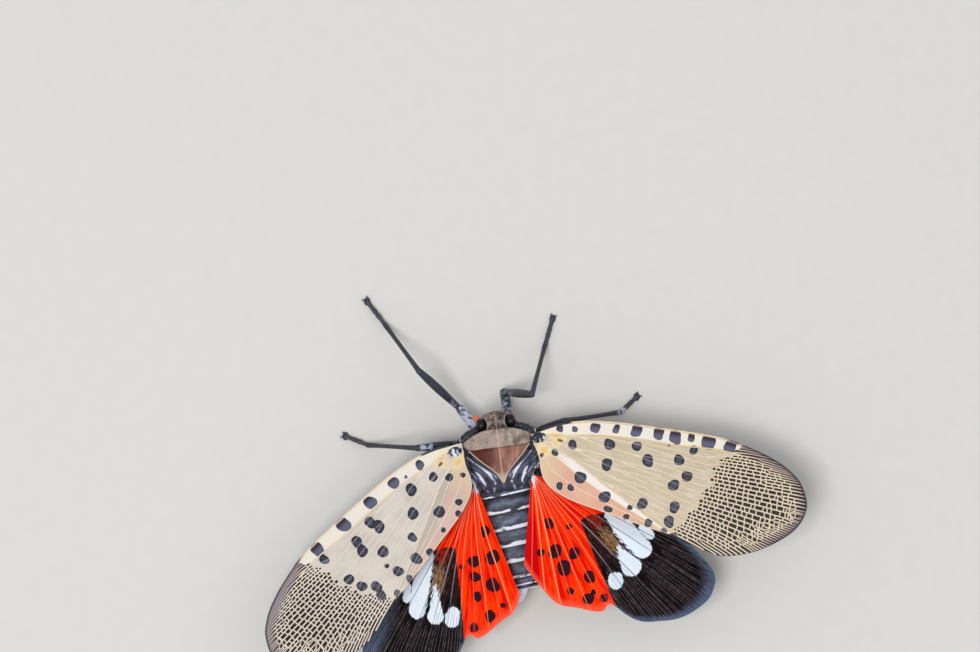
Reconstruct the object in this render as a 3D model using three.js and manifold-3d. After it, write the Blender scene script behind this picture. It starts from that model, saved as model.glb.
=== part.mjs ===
// Spotted lanternfly standing with both pairs of wings spread, life size, in millimetres.
// The head points to -Y, the back is up and the insect's left side is +X.
// Plan positions are measured from a point between the wing roots; the last lines move the
// origin to the ground under the middle of the whole insect.
import * as THREE from 'three';
import { mergeVertices } from 'three/addons/utils/BufferGeometryUtils.js';
import Module from 'manifold-3d';

const wasm = await Module();
wasm.setup();
const { degToRad, clamp, lerp } = THREE.MathUtils;

// Free space between neighbouring pieces
const GAP = 0.3;

// Body: where the thorax, abdomen and head stand, and how far each is turned about Z, in degrees
const THORAX = { at: [0.08, -4.24, 0], turn: 7.6 };
const ABDOMEN = { at: [-0.416, -0.528, 0], turn: 12 };
const HEAD = { at: [0.332, -6.18, 0], turn: 9 };
const THORAX_FROM = -1.5;
const THORAX_TO = 4.0;
const KNOB = { at: [2.62, -0.1, 6.0], size: [0.45, 0.8, 0.5] };
const ABDOMEN_FROM = 0.1;
const ABDOMEN_TO = 7.95;
const RING_ENDS = [1.46, 2.9, 4.26, 5.59, 6.88, 7.57, ABDOMEN_TO];
const RING_STEP = 0.16;
const RING_RAMP = 0.1;
const TAIL = { at: [0.35, 8.15, 2.75], size: [0.42, 0.95, 0.36], turn: -32 };

// How blunt the ends of a body region are: 1 is an ellipse's, less is blunter
const END_BLUNTNESS = 0.55;

// Shields on the back, each curved down from a crest, across, and along it before and behind
const SHIELD_THICKNESS = 0.5;
const PRONOTUM_HALF_WIDTH = 3.0;
const PRONOTUM_CREST = 6.75;
const PRONOTUM_CURVE = { across: 0.11, along: 0.12 };
const MESONOTUM_FRONT = 0.36;
const MESONOTUM_BACK = 2.9;
const MESONOTUM_CREST = { y: 1, z: 7.0 };
const MESONOTUM_CURVE = { across: 0.09, along: 0.05, behind: 0.18 };

// Head: eyes, feelers and sucking beak
const HEAD_FROM = 2.75;
const HEAD_TO = 6.25;
const EYE = { side: 1.19, y: 0.02, z: 5.42, size: [0.45, 0.58, 0.7] };
const ANTENNA = { z: 3.72, bulb: 0.36, bristle: [0.88, -0.55, -0.28], left: [1.5, -0.45], right: [-1.24, -0.34] };
const BEAK = { from: [0, -1.25, 2.15], to: [0, 3.1, 0.95], radius: 0.27 };

// Wings: solid thickness, height of a vein above the membrane and its half width
const WING_THICKNESS = 0.5;
const VEIN_HEIGHT = 0.12;
const VEIN_HALF_WIDTH = 0.14;

// Forewing: arched across its chord, with veins that grow out of the first fifth of its length
const FOREWING_ROOT_Z = 6.1;
const FOREWING_RISE = 0.03;
const FOREWING_CAMBER = { height: 0.35, crestAt: 0.5, halfChord: 4.5, flatRoot: 4 };
const FOREWING_ROWS = 16;
const FOREWING_VEINS = [0.13, 0.27, 0.41, 0.55, 0.69, 0.84, 1.0, 1.5];
const FOREWING_VEIN_ROOT = 0.2;
const WIDEST_FOOT = { main: 0.06, clavus: 0.2 };
const CLAVAL_END = 0.74;

// Hindwing: pleated up and down at alternate veins, which stand at these angles
const HINDWING_Z = 5.0;
const HINDWING_ROWS = 11;
const HINDWING_PLEAT = 0.1;
const HINDWING_ROOT = 0.55;
const HINDWING_VEIN_ROOT = 0.33;
const HINDWING_VEIN_FOOT = 0.6;
const HINDWING_VEINS = [27, 33, 39, 45, 51, 57.2, 63, 69, 75, 80, 87];

// Each wing's hinge in plan, the angle of its chord behind square, its twist and its spread
const FOREWINGS = {
  left: { side: 1, hinge: [3.44, -4.08], sweep: 49, twist: 19, narrow: 0.87 },
  right: { side: -1, hinge: [-3.04, -5.04], sweep: 15, twist: 5, narrow: 1 },
};
const HINDWINGS = {
  left: { side: 1, hinge: [2.0, -1.28], sweep: 28.5, inner: 83.5 },
  right: { side: -1, hinge: [-2.56, -2.08], sweep: 0, inner: 95 },
};

// Forewing outline in its own plane: along the chord, then towards the trailing edge
const LEADING_EDGE = [
  [0, -0.6], [2, -1.75], [5, -2.62], [9.3, -3.25], [14.2, -3.73], [17.4, -3.44], [19.3, -2.98],
];
const OUTER_EDGE = [
  [19.3, -2.98], [20.35, -2.5], [21.4, -1.65], [22.16, 0], [21.6, 1.95], [19.6, 3.95], [17.7, 5.0],
  [16.3, 5.4],
];
const CLAVAL_LINE = [[0.3, 0.6], [12.1, 4.75]];
const TRAILING_TIP = [[12.1, 4.75], [14.4, 5.2], [16.3, 5.4]];
const CLAVUS_EDGE = [[0.45, 1.3], [1.4, 3.2], [3.4, 4.08], [6.6, 4.4], [9.4, 4.6], [12.1, 4.75]];

// Hindwing outline round its hinge: degrees behind square, then reach
const HINDWING_REACH = [
  [21, 11.2], [24.5, 14.1], [28, 16.4], [33, 17.3], [39.8, 17.1], [48.4, 15.8], [56.4, 13.5],
  [57.8, 12.6], [63, 12.4], [71, 11.4], [79.6, 10.5], [86, 9.0], [95, 7.3],
];

// Legs: radii, and for each leg where its hip, trochanter, knee, ankle and toe are
const COXA_RADIUS = 0.44;
const FEMUR_RADIUS = 0.38;
const TIBIA_RADIUS = 0.27;
const TARSUS_RADIUS = 0.26;
const FOOT_PAD = [0.34, 0.44, 0.3];
const LEG_SIDES = 7;
const LEGS = {
  front_left: [
    [1.34, -4.98, 2.7], [3.2, -7.2, 2.2], [6.52, -10.32, 4.6],
    [9.31, -14, 0.5], [10.8, -15.92, 0.2],
  ],
  front_right: [
    [-0.94, -5.28, 2.6], [-0.35, -8.56, 1.2], [-2.56, -8.44, 5.4],
    [-3.68, -12.4, 0.5], [-4.28, -14.51, 0.2],
  ],
  mid_left: [
    [1.29, -3.47, 2.3], [2.4, -4.45, 1.9], [6.64, -4.12, 4.6],
    [10.72, -4.24, 0.5], [12.56, -4.96, 0.2],
  ],
  mid_right: [
    [-1.29, -3.82, 2.3], [-1.9, -4.95, 1.9], [-5.28, -6.32, 4.6],
    [-9.84, -6.92, 0.5], [-11.12, -8.16, 0.2],
  ],
  hind_left: [
    [0.78, -1.93, 2.2], [1.75, -1.7, 1.7], [4.9, -0.9, 4.2],
    [6.6, 7.4, 0.5], [7, 9.4, 0.2],
  ],
  hind_right: [
    [-1.2, -2.19, 2.2], [-2.15, -2.2, 1.7], [-5, -2, 4.2],
    [-5.9, 5.7, 0.5], [-6.2, 7.6, 0.2],
  ],
};

// A smooth curve through [position, value] pairs
function graph(pairs) {
  const positions = pairs.map((pair) => pair[0]);
  const values = pairs.map((pair) => pair[1]);
  const curve = new THREE.CubicInterpolant(positions, values, 1, new Float64Array(1));
  return (at) => curve.evaluate(clamp(at, positions[0], positions.at(-1)))[0];
}

// A plane curve through points, read by length from 0 to 1
function edge(points) {
  const curve = new THREE.SplineCurve(points.map(([x, y]) => new THREE.Vector2(x, y)));
  return (at) => curve.getPointAt(clamp(at, 0, 1));
}

// The matrix of a body region that is turned about Z
function stance({ at, turn }) {
  return new THREE.Matrix4().makeRotationZ(degToRad(turn)).setPosition(...at);
}

// Faces point out: the index is turned over if the signed volume is negative
function facingOut(geometry) {
  const position = geometry.attributes.position;
  const index = geometry.index.array;
  const corner = [0, 1, 2].map(() => new THREE.Vector3());
  let volume = 0;
  for (let i = 0; i < index.length; i += 3) {
    corner.forEach((point, k) => point.fromBufferAttribute(position, index[i + k]));
    volume += corner[0].dot(corner[1].clone().cross(corner[2]));
  }
  if (volume < 0) {
    for (let i = 0; i < index.length; i += 3) [index[i], index[i + 1]] = [index[i + 1], index[i]];
  }
  return geometry;
}

// A closed solid for joining and cutting
function solid(geometry) {
  const bare = geometry.clone();
  bare.deleteAttribute('normal');
  bare.deleteAttribute('uv');
  const merged = facingOut(mergeVertices(bare, 1e-5));
  const index = merged.index.array;
  const triangles = [];
  for (let i = 0; i < index.length; i += 3) {
    const [a, b, c] = index.slice(i, i + 3);
    if (a !== b && b !== c && c !== a) triangles.push(a, b, c);
  }
  return new wasm.Manifold(new wasm.Mesh({
    numProp: 3,
    vertProperties: new Float32Array(merged.attributes.position.array),
    triVerts: new Uint32Array(triangles),
  }));
}

function joined(solids) {
  return solids.reduce((whole, next) => whole.add(next));
}

function without(body, cutters) {
  return cutters.reduce((rest, next) => rest.subtract(next), body);
}

// The largest closed surface of a solid, as a geometry
function surface(body) {
  const shells = body.decompose();
  const largest = shells.reduce((a, b) => (a.volume() > b.volume() ? a : b));
  const mesh = largest.getMesh();
  const geometry = new THREE.BufferGeometry();
  geometry.setAttribute('position', new THREE.BufferAttribute(mesh.vertProperties, 3));
  geometry.setIndex(new THREE.BufferAttribute(mesh.triVerts, 1));
  geometry.computeVertexNormals();
  return geometry;
}

// A closed body on a sphere's grid; along runs from pole to pole and around is an angle
function blob(columns, rows, place) {
  const geometry = new THREE.SphereGeometry(1, columns, rows);
  const { position, uv } = geometry.attributes;
  for (let i = 0; i < position.count; i += 1) {
    const along = 1 - uv.getY(i);
    const point = place(along, uv.getX(i) * 2 * Math.PI, Math.sin(Math.PI * along));
    position.setXYZ(i, point.x, point.y, point.z);
  }
  return geometry;
}

// A squared circle: 2 is round, more is fuller at the corners
function squared(value, fullness) {
  return Math.sign(value) * Math.abs(value) ** (2 / fullness);
}

// A body region along Y from its half width, top and bottom at each station
function trunk(columns, rows, { from, to, halfWidth, top, bottom, fullness }, grow = 0) {
  return blob(columns, rows, (along, around, ring) => {
    const y = lerp(from - grow, to + grow, (1 - Math.cos(Math.PI * along)) / 2);
    const round = ring < 1e-6 ? 0 : ring ** END_BLUNTNESS;
    const middle = (top(y) + bottom(y)) / 2;
    const width = halfWidth(y) + grow;
    const height = (top(y) - bottom(y)) / 2 + grow;
    return new THREE.Vector3(
      width * round * squared(Math.cos(around), fullness),
      y,
      middle + height * round * squared(Math.sin(around), fullness),
    );
  });
}

function ellipsoid(columns, rows, size, at, grow = 0) {
  const geometry = new THREE.SphereGeometry(1, columns, rows);
  geometry.scale(...size.map((value) => value + grow));
  return geometry.translate(...at);
}

// A thin closed sheet on a grid, split into triangles alike above and below
function sheet(sCount, tCount, place) {
  const grid = new THREE.PlaneGeometry(1, 1, tCount - 1, sCount - 1);
  const points = [];
  for (const face of [1, -1]) {
    for (let i = 0; i < sCount; i += 1) {
      for (let j = 0; j < tCount; j += 1) points.push(...place(i, j, face).toArray());
    }
  }
  const under = sCount * tCount;
  const index = [];
  const upper = grid.index.array;
  for (let i = 0; i < upper.length; i += 3) {
    const [a, b, c] = upper.slice(i, i + 3);
    index.push(a, b, c, under + b, under + a, under + c);
  }
  const rim = [];
  for (let j = 0; j < tCount - 1; j += 1) rim.push(j);
  for (let i = 0; i < sCount - 1; i += 1) rim.push(i * tCount + tCount - 1);
  for (let j = tCount - 1; j > 0; j -= 1) rim.push((sCount - 1) * tCount + j);
  for (let i = sCount - 1; i > 0; i -= 1) rim.push(i * tCount);
  rim.forEach((a, k) => {
    const b = rim[(k + 1) % rim.length];
    index.push(a, b, under + a, b, under + b, under + a);
  });
  const geometry = new THREE.BufferGeometry();
  geometry.setAttribute('position', new THREE.Float32BufferAttribute(points, 3));
  geometry.setIndex(index);
  return geometry;
}

// Columns for a row of veins: two feet and a crest for each, with the outer edges at the ends
function veinColumns(first, last, veins) {
  const columns = [{ at: first, foot: 0, crest: 0 }];
  veins.forEach((at, vein) => {
    columns.push({ at, foot: -1, crest: 0 }, { at, foot: 0, crest: 1, vein }, { at, foot: 1, crest: 0 });
  });
  columns.push({ at: last, foot: 0, crest: 0 });
  return columns;
}

// Forewing plan: from 0 to 1 across the main field and from 1 to 2 across the clavus
const leadingEdge = edge(LEADING_EDGE);
const outerEdge = edge(OUTER_EDGE);
const clavusEdge = edge(CLAVUS_EDGE);
const claval = edge(CLAVAL_LINE);
const trailingTip = edge(TRAILING_TIP);
const ROOT_FRONT = new THREE.Vector2(...LEADING_EDGE[0]);
const ROOT_BACK = new THREE.Vector2(...CLAVAL_LINE[0]);

function clavalSide(s) {
  return s < CLAVAL_END ? claval(s / CLAVAL_END) : trailingTip((s - CLAVAL_END) / (1 - CLAVAL_END));
}

function forewingPlan(s, t) {
  if (t > 1) {
    const back = s < CLAVAL_END ? clavusEdge(s / CLAVAL_END) : clavalSide(s);
    return clavalSide(s).lerp(back, t - 1);
  }
  const across = leadingEdge(s).lerp(clavalSide(s), t);
  const along = ROOT_FRONT.clone().lerp(ROOT_BACK, t).lerp(outerEdge(t), s);
  const corners = ROOT_FRONT.clone().lerp(ROOT_BACK, t).lerp(outerEdge(0).lerp(outerEdge(1), t), s);
  return across.add(along).sub(corners);
}

function forewing({ side, hinge, sweep, twist, narrow }, grow = 0) {
  const turn = degToRad(sweep);
  const columns = veinColumns(0, 2, FOREWING_VEINS);
  const { height, crestAt, halfChord, flatRoot } = FOREWING_CAMBER;
  return sheet(FOREWING_ROWS + 1, columns.length, (i, j, face) => {
    const s = i / FOREWING_ROWS;
    const { at, foot, crest } = columns[j];
    const behind = at > 1 || (at === 1 && foot > 0);
    const field = behind ? 1 : 0;
    const width = forewingPlan(s, field).distanceTo(forewingPlan(s, field + 1));
    const rooted = Math.min(s / FOREWING_VEIN_ROOT, 1);
    const widest = behind ? WIDEST_FOOT.clavus : WIDEST_FOOT.main;
    const spread = Math.min(VEIN_HALF_WIDTH * rooted / Math.max(width, GAP), widest);
    const { x, y: reach } = forewingPlan(s, at + foot * spread);
    const a = x - grow;
    const b = reach > 0 ? reach * narrow : reach;
    const clavus = forewingPlan(s, 1).distanceTo(forewingPlan(s, 2));
    const open = at < 1 ? 1 : Math.min(clavus / WING_THICKNESS, 1);
    const raised = crest * open * VEIN_HEIGHT * rooted;
    const camber = height * (1 - ((b - crestAt) / halfChord) ** 2) * Math.min(a / flatRoot, 1);
    const middle = FOREWING_ROOT_Z + FOREWING_RISE * a + camber + b * Math.tan(degToRad(twist));
    return new THREE.Vector3(
      hinge[0] + side * (a * Math.cos(turn) - b * Math.sin(turn)),
      hinge[1] + a * Math.sin(turn) + b * Math.cos(turn),
      middle + face * (WING_THICKNESS / 2 + raised + grow),
    );
  });
}

// Hindwing: a fan of pleats round the hinge
const hindwingReach = graph(HINDWING_REACH);

function hindwing({ side, hinge, sweep, inner }, grow = 0) {
  const veins = HINDWING_VEINS.filter((angle) => angle < inner - 2);
  const columns = veinColumns(HINDWING_REACH[0][0], inner, veins);
  return sheet(HINDWING_ROWS + 1, columns.length, (i, j, face) => {
    const s = i / HINDWING_ROWS;
    const { at, foot, crest, vein } = columns[j];
    const angle = at + foot * HINDWING_VEIN_FOOT;
    const reach = lerp(HINDWING_ROOT, hindwingReach(angle) + grow, s);
    const turn = degToRad(angle + sweep + grow * (j === columns.length - 1 ? 8 : 0));
    const raised = crest * VEIN_HEIGHT * Math.min(s / HINDWING_VEIN_ROOT, 1);
    const pleat = crest * HINDWING_PLEAT * s * (vein % 2 ? -1 : 1);
    return new THREE.Vector3(
      hinge[0] + side * reach * Math.cos(turn),
      hinge[1] + reach * Math.sin(turn),
      HINDWING_Z + pleat + face * (WING_THICKNESS / 2 + raised + grow),
    );
  });
}

// A limb length turned on a lathe, thicker or thinner along it
function limb(from, to, radii, grow = 0) {
  const start = new THREE.Vector3(...from);
  const axis = new THREE.Vector3(...to).sub(start);
  const length = axis.length();
  const rounding = 0.8;
  const profile = [new THREE.Vector2(0, -radii[0] * rounding - grow)];
  radii.forEach((radius, k) => {
    profile.push(new THREE.Vector2(radius + grow, length * k / (radii.length - 1)));
  });
  profile.push(new THREE.Vector2(0, length + radii.at(-1) * rounding + grow));
  const geometry = new THREE.LatheGeometry(profile, LEG_SIDES);
  const upright = new THREE.Vector3(0, 1, 0);
  geometry.applyQuaternion(new THREE.Quaternion().setFromUnitVectors(upright, axis.normalize()));
  return geometry.translate(...start.toArray());
}

// A leg of coxa, femur, tibia, tarsus and foot pad, flat on the ground
function leg([hip, trochanter, knee, ankle, toe], grow = 0) {
  const parts = [
    limb(hip, trochanter, [COXA_RADIUS, COXA_RADIUS, COXA_RADIUS * 0.85], grow),
    limb(trochanter, knee, [FEMUR_RADIUS * 0.8, FEMUR_RADIUS, FEMUR_RADIUS * 0.95, FEMUR_RADIUS * 0.8], grow),
    limb(knee, ankle, [TIBIA_RADIUS * 1.15, TIBIA_RADIUS, TIBIA_RADIUS, TIBIA_RADIUS * 1.05], grow),
    limb(ankle, toe, [TARSUS_RADIUS, TARSUS_RADIUS * 0.9, TARSUS_RADIUS * 0.85], grow),
    ellipsoid(8, 5, FOOT_PAD, toe, grow),
  ];
  const ground = new THREE.BoxGeometry(4, 4, 2).translate(toe[0], toe[1], -1);
  return joined(parts.map(solid)).subtract(solid(ground));
}

// Thorax: deep chest with a knob at each forewing root
const thoraxShape = {
  from: THORAX_FROM,
  to: THORAX_TO,
  halfWidth: graph([[-1.5, 2.2], [-0.4, 2.85], [0.8, 2.9], [2, 2.75], [2.8, 2.5], [3.4, 2.25], [4, 2]]),
  top: graph([[-1.5, 5.7], [0, 6.5], [1.5, 6.45], [2.6, 6.0], [4, 5.35]]),
  bottom: graph([[-1.5, 2.5], [0, 1.9], [2, 1.75], [4, 2.0]]),
  fullness: 3,
};

function thoraxBody(grow = 0) {
  const chest = trunk(20, 12, thoraxShape, grow);
  const knobs = [1, -1].map((side) => {
    const [x, y, z] = KNOB.at;
    return ellipsoid(8, 6, KNOB.size, [side * x, y, z], grow);
  });
  return joined([chest, ...knobs].map((geometry) => solid(geometry.applyMatrix4(stance(THORAX)))));
}

// Abdomen: rings that each overlap the next, and a narrow tail
const abdomenShape = {
  halfWidth: graph([[0, 2.05], [1.5, 2.3], [4, 2.1], [6, 1.6], [7.2, 1.25], [7.95, 1.0]]),
  top: graph([[0, 4.85], [1.5, 4.85], [4, 4.35], [6, 3.95], [7.95, 3.5]]),
  bottom: graph([[0, 1.9], [2, 1.65], [5, 1.6], [7.95, 1.95]]),
  fullness: 2.2,
};

// Each ring starts a step lower than the last one ended
const ringStations = [{ y: ABDOMEN_FROM, sunk: 0 }];
for (const end of RING_ENDS) {
  const start = ringStations.at(-1).y;
  ringStations.push({ y: start + RING_RAMP, sunk: RING_STEP }, { y: end, sunk: 0 });
}
ringStations.push({ y: ABDOMEN_TO + RING_RAMP, sunk: 0 });

function abdomenBody() {
  const { halfWidth, top, bottom, fullness } = abdomenShape;
  const rows = ringStations.length - 1;
  const body = blob(20, rows, (along, around) => {
    const station = Math.round(along * rows);
    const { y, sunk } = ringStations[station];
    const round = station === 0 || station === rows ? 0 : 1;
    const height = (top(y) - bottom(y)) / 2 - sunk;
    return new THREE.Vector3(
      (halfWidth(y) - sunk) * round * squared(Math.cos(around), fullness),
      y,
      (top(y) + bottom(y)) / 2 + height * round * squared(Math.sin(around), fullness),
    );
  });
  const [x, y, z] = TAIL.at;
  const tail = ellipsoid(10, 8, TAIL.size, [0, 0, 0]).rotateZ(degToRad(TAIL.turn)).translate(x, y, z);
  return joined([body, tail].map((geometry) => solid(geometry.applyMatrix4(stance(ABDOMEN)))));
}

// Shields: curved plates over the thorax
const pronotumFront = graph([[0, -1.5], [1.2, -1.42], [2.2, -1.05], [3, -0.55]]);
const pronotumBack = graph([[0, 0], [1.2, 0.02], [2.1, 0.06], [2.6, -0.15], [3, -0.4]]);

function pronotum(grow = 0) {
  const columns = 16;
  const rows = 5;
  const half = SHIELD_THICKNESS / 2 + grow;
  return sheet(rows, columns + 1, (i, j, face) => {
    const x = (2 * j / columns - 1) * PRONOTUM_HALF_WIDTH;
    const front = pronotumFront(Math.abs(x)) - grow;
    const back = pronotumBack(Math.abs(x)) + grow;
    const y = lerp(front, back, i / (rows - 1));
    const crown = PRONOTUM_CREST - PRONOTUM_CURVE.across * x * x - PRONOTUM_CURVE.along * y * y;
    const reach = x * (1 + grow / PRONOTUM_HALF_WIDTH);
    return new THREE.Vector3(reach, y, crown - SHIELD_THICKNESS / 2 + face * half);
  }).applyMatrix4(stance(THORAX));
}

const mesonotumHalf = graph([[0.36, 2.35], [0.9, 1.85], [1.6, 1.2], [2.3, 0.6], [2.9, 0.22]]);

function mesonotum(grow = 0) {
  const columns = 12;
  const rows = 9;
  const half = SHIELD_THICKNESS / 2 + grow;
  const { across, along, behind } = MESONOTUM_CURVE;
  return sheet(rows, columns + 1, (i, j, face) => {
    const y = lerp(MESONOTUM_FRONT, MESONOTUM_BACK, i / (rows - 1));
    const x = (2 * j / columns - 1) * (mesonotumHalf(y) + grow);
    const back = y - MESONOTUM_CREST.y;
    const fall = along * back ** 2 + behind * Math.max(back, 0) ** 2;
    const crown = MESONOTUM_CREST.z - across * x * x - fall;
    const reach = y + grow * (i === rows - 1) - grow * (i === 0);
    return new THREE.Vector3(x, reach, crown - SHIELD_THICKNESS / 2 + face * half);
  }).applyMatrix4(stance(THORAX));
}

// Head: stations from the tip of the face up to the crown
const headFront = graph([[2.8, 0.15], [3.4, -0.15], [4, -0.45], [4.8, -0.8], [5.4, -0.98], [6.2, -0.8]]);
const headBack = graph([[2.8, 0.55], [3.4, 0.85], [4.2, 1], [6.2, 1]]);
const headHalf = graph([[2.8, 0.45], [3.2, 0.66], [3.6, 0.88], [4.4, 1.16], [5.4, 1.38], [6.2, 1.22]]);

function headBody(grow = 0) {
  const geometry = blob(18, 12, (along, around, ring) => {
    const z = lerp(HEAD_FROM - grow, HEAD_TO + grow, (1 - Math.cos(Math.PI * along)) / 2);
    const round = ring < 1e-6 ? 0 : ring ** END_BLUNTNESS;
    const middle = (headFront(z) + headBack(z)) / 2;
    const depth = (headBack(z) - headFront(z)) / 2 + grow;
    return new THREE.Vector3(
      (headHalf(z) + grow) * round * squared(Math.cos(around), 2.5),
      middle + depth * round * squared(Math.sin(around), 2.3),
      z,
    );
  });
  return solid(geometry.applyMatrix4(stance(HEAD)));
}

function eye(side, grow = 0) {
  return ellipsoid(16, 12, EYE.size, [side * EYE.side, EYE.y, EYE.z], grow).applyMatrix4(stance(HEAD));
}

// A feeler: a short stalk, a round bulb and a fine bristle
function antenna(side, grow = 0) {
  const { z, bulb, bristle } = ANTENNA;
  const [x, y] = side > 0 ? ANTENNA.left : ANTENNA.right;
  const tip = [x + side * bristle[0], y + bristle[1], z + bristle[2]];
  const parts = [
    ellipsoid(12, 8, [bulb * 0.92, bulb, bulb], [x, y, z], grow),
    limb([x, y, z], tip, [0.26, 0.16, 0.05], grow),
  ];
  return joined(parts.map((geometry) => solid(geometry.applyMatrix4(stance(HEAD)))));
}

function beak(grow = 0) {
  const { from, to, radius } = BEAK;
  const tube = limb(from, to, [radius * 1.15, radius, radius * 0.9, radius * 0.7], grow);
  return solid(tube.applyMatrix4(stance(THORAX)));
}

function skin(color, roughness, metalness = 0) {
  return new THREE.MeshStandardMaterial({ color, roughness, metalness });
}

const finishes = {
  cuticle: skin('#2b2c33', 0.55),
  waxy: skin('#454756', 0.7),
  face: skin('#78604f', 0.6),
  lens: skin('#1a1410', 0.12),
  feeler: skin('#d9541e', 0.5),
  shield: skin('#c4b49c', 0.65),
  scutum: skin('#8f5f4c', 0.5),
  tegmen: skin('#cdbea0', 0.55),
  scarlet: skin('#e03418', 0.5),
};

const insect = new THREE.Group();

function addPiece(name, geometry, material) {
  const mesh = new THREE.Mesh(geometry, material);
  mesh.name = name;
  insect.add(mesh);
}

const grownLegs = Object.values(LEGS).map((points) => leg(points, GAP));
const forewings = Object.entries(FOREWINGS).map(([name, wing]) => [name, solid(forewing(wing))]);
const hindwings = Object.entries(HINDWINGS).map(([name, wing]) => [name, solid(hindwing(wing))]);
const grownHindwings = Object.values(HINDWINGS).map((wing) => solid(hindwing(wing, GAP)));
const grownForewings = Object.values(FOREWINGS).map((wing) => solid(forewing(wing, GAP)));
const grownShields = [solid(pronotum(GAP)), solid(mesonotum(GAP))];
const sides = { left: 1, right: -1 };

addPiece('pronotum', surface(solid(pronotum())), finishes.shield);
addPiece('mesonotum', surface(solid(mesonotum())), finishes.scutum);

const grownWings = [...grownForewings, ...grownHindwings];
const thorax = without(thoraxBody(), [...grownShields, ...grownLegs, ...grownWings, beak(GAP)]);
addPiece('thorax', surface(thorax), finishes.waxy);

const abdomen = without(abdomenBody(), [thoraxBody(GAP), ...grownHindwings]);
addPiece('abdomen', surface(abdomen), finishes.waxy);

const sockets = Object.values(sides).flatMap((side) => [solid(eye(side, GAP)), antenna(side, GAP)]);
const head = without(headBody(), [thoraxBody(GAP), grownShields[0], beak(GAP), ...sockets]);
addPiece('head', surface(head), finishes.face);
addPiece('rostrum', surface(beak()), finishes.cuticle);

for (const [name, side] of Object.entries(sides)) {
  addPiece(`eye_${name}`, surface(solid(eye(side))), finishes.lens);
  addPiece(`antenna_${name}`, surface(antenna(side)), finishes.feeler);
}
for (const [name, wing] of forewings) addPiece(`forewing_${name}`, surface(wing), finishes.tegmen);
for (const [name, wing] of hindwings) addPiece(`hindwing_${name}`, surface(wing), finishes.scarlet);
for (const [name, points] of Object.entries(LEGS)) {
  addPiece(`leg_${name}`, surface(leg(points)), finishes.cuticle);
}

// The origin goes to the ground under the middle of the whole insect
const middle = new THREE.Box3().setFromObject(insect).getCenter(new THREE.Vector3());
insect.position.set(-middle.x, -middle.y, 0);

export default insect;
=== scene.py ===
import math

import bpy
import bmesh
import numpy as np
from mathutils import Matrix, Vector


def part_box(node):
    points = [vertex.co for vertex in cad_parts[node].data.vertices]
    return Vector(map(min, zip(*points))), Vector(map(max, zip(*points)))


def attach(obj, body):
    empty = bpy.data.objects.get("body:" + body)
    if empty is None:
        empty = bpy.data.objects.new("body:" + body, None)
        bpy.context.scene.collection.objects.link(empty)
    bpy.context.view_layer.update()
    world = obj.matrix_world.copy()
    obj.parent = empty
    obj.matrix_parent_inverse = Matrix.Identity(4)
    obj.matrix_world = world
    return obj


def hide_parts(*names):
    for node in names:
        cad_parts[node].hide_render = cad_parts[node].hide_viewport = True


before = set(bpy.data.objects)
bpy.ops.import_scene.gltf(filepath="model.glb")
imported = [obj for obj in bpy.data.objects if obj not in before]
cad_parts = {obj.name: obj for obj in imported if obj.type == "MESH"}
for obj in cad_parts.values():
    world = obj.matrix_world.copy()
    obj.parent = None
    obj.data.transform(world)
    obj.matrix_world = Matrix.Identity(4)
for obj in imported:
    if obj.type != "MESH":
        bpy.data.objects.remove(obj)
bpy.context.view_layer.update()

# Camera. It looks straight down on the back, with the head towards the top of the picture and the
# wings in its lower half. Places in plan are millimetres from a point between the wing roots, which
# the left eye's solid gives in the frame.
MM = 0.001
HEAD = (0.332, -6.18), 9.0
EYE_AT = (1.19, 0.02, 5.42)
CAMERA_AT, CAMERA_LENS = (0.8, -13.92, 354.4), 160.0


def stood(points, at, degrees):
    """Points of one body region, turned about the upright and set in its place in plan."""
    c, s = math.cos(math.radians(degrees)), math.sin(math.radians(degrees))
    x, y, z = np.moveaxis(points, -1, 0)
    return np.stack([x * c - y * s + at[0], x * s + y * c + at[1], z], -1)


def placed(name, data):
    """A new object in the scene."""
    made = bpy.data.objects.new(name, data)
    bpy.context.scene.collection.objects.link(made)
    return made


ORIGIN = (np.array(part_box("eye_left")) / MM).mean(0) - stood(np.array(EYE_AT), *HEAD)
ORIGIN[2] = 0.0

camera = placed("camera", bpy.data.cameras.new("camera"))
camera.data.lens = CAMERA_LENS
camera.data.clip_start, camera.data.clip_end = 0.02, 10.0
camera.location = (np.array(CAMERA_AT) + ORIGIN) * MM
camera.rotation_euler = (0.0, 0.0, math.pi)
bpy.context.scene.camera = camera
bpy.context.scene.view_settings.view_transform = "Standard"

# Floor and light: a plain pale floor under one broad soft light nearly overhead, a weaker one from
# the other side and an even pale sky.
FLOOR_COLOURS, FLOOR_SIZE = ((203, 201, 196), (209, 207, 202)), 1.6
SKY_COLOUR, SKY_STRENGTH = (0.93, 0.955, 1.0, 1.0), 0.58
SOFT_BOXES = {"key": ((0.10, 0.06, 0.48), 0.17, 1.39), "fill": ((-0.28, -0.20, 0.42), 0.6, 0.45)}


def shade(colour):
    """A colour as the eye reads it, each part from 0 to 255, on the light's own scale."""
    parts = [c / 255 for c in colour]
    return (*[c / 12.92 if c <= 0.04045 else ((c + 0.055) / 1.055) ** 2.4 for c in parts], 1.0)


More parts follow.
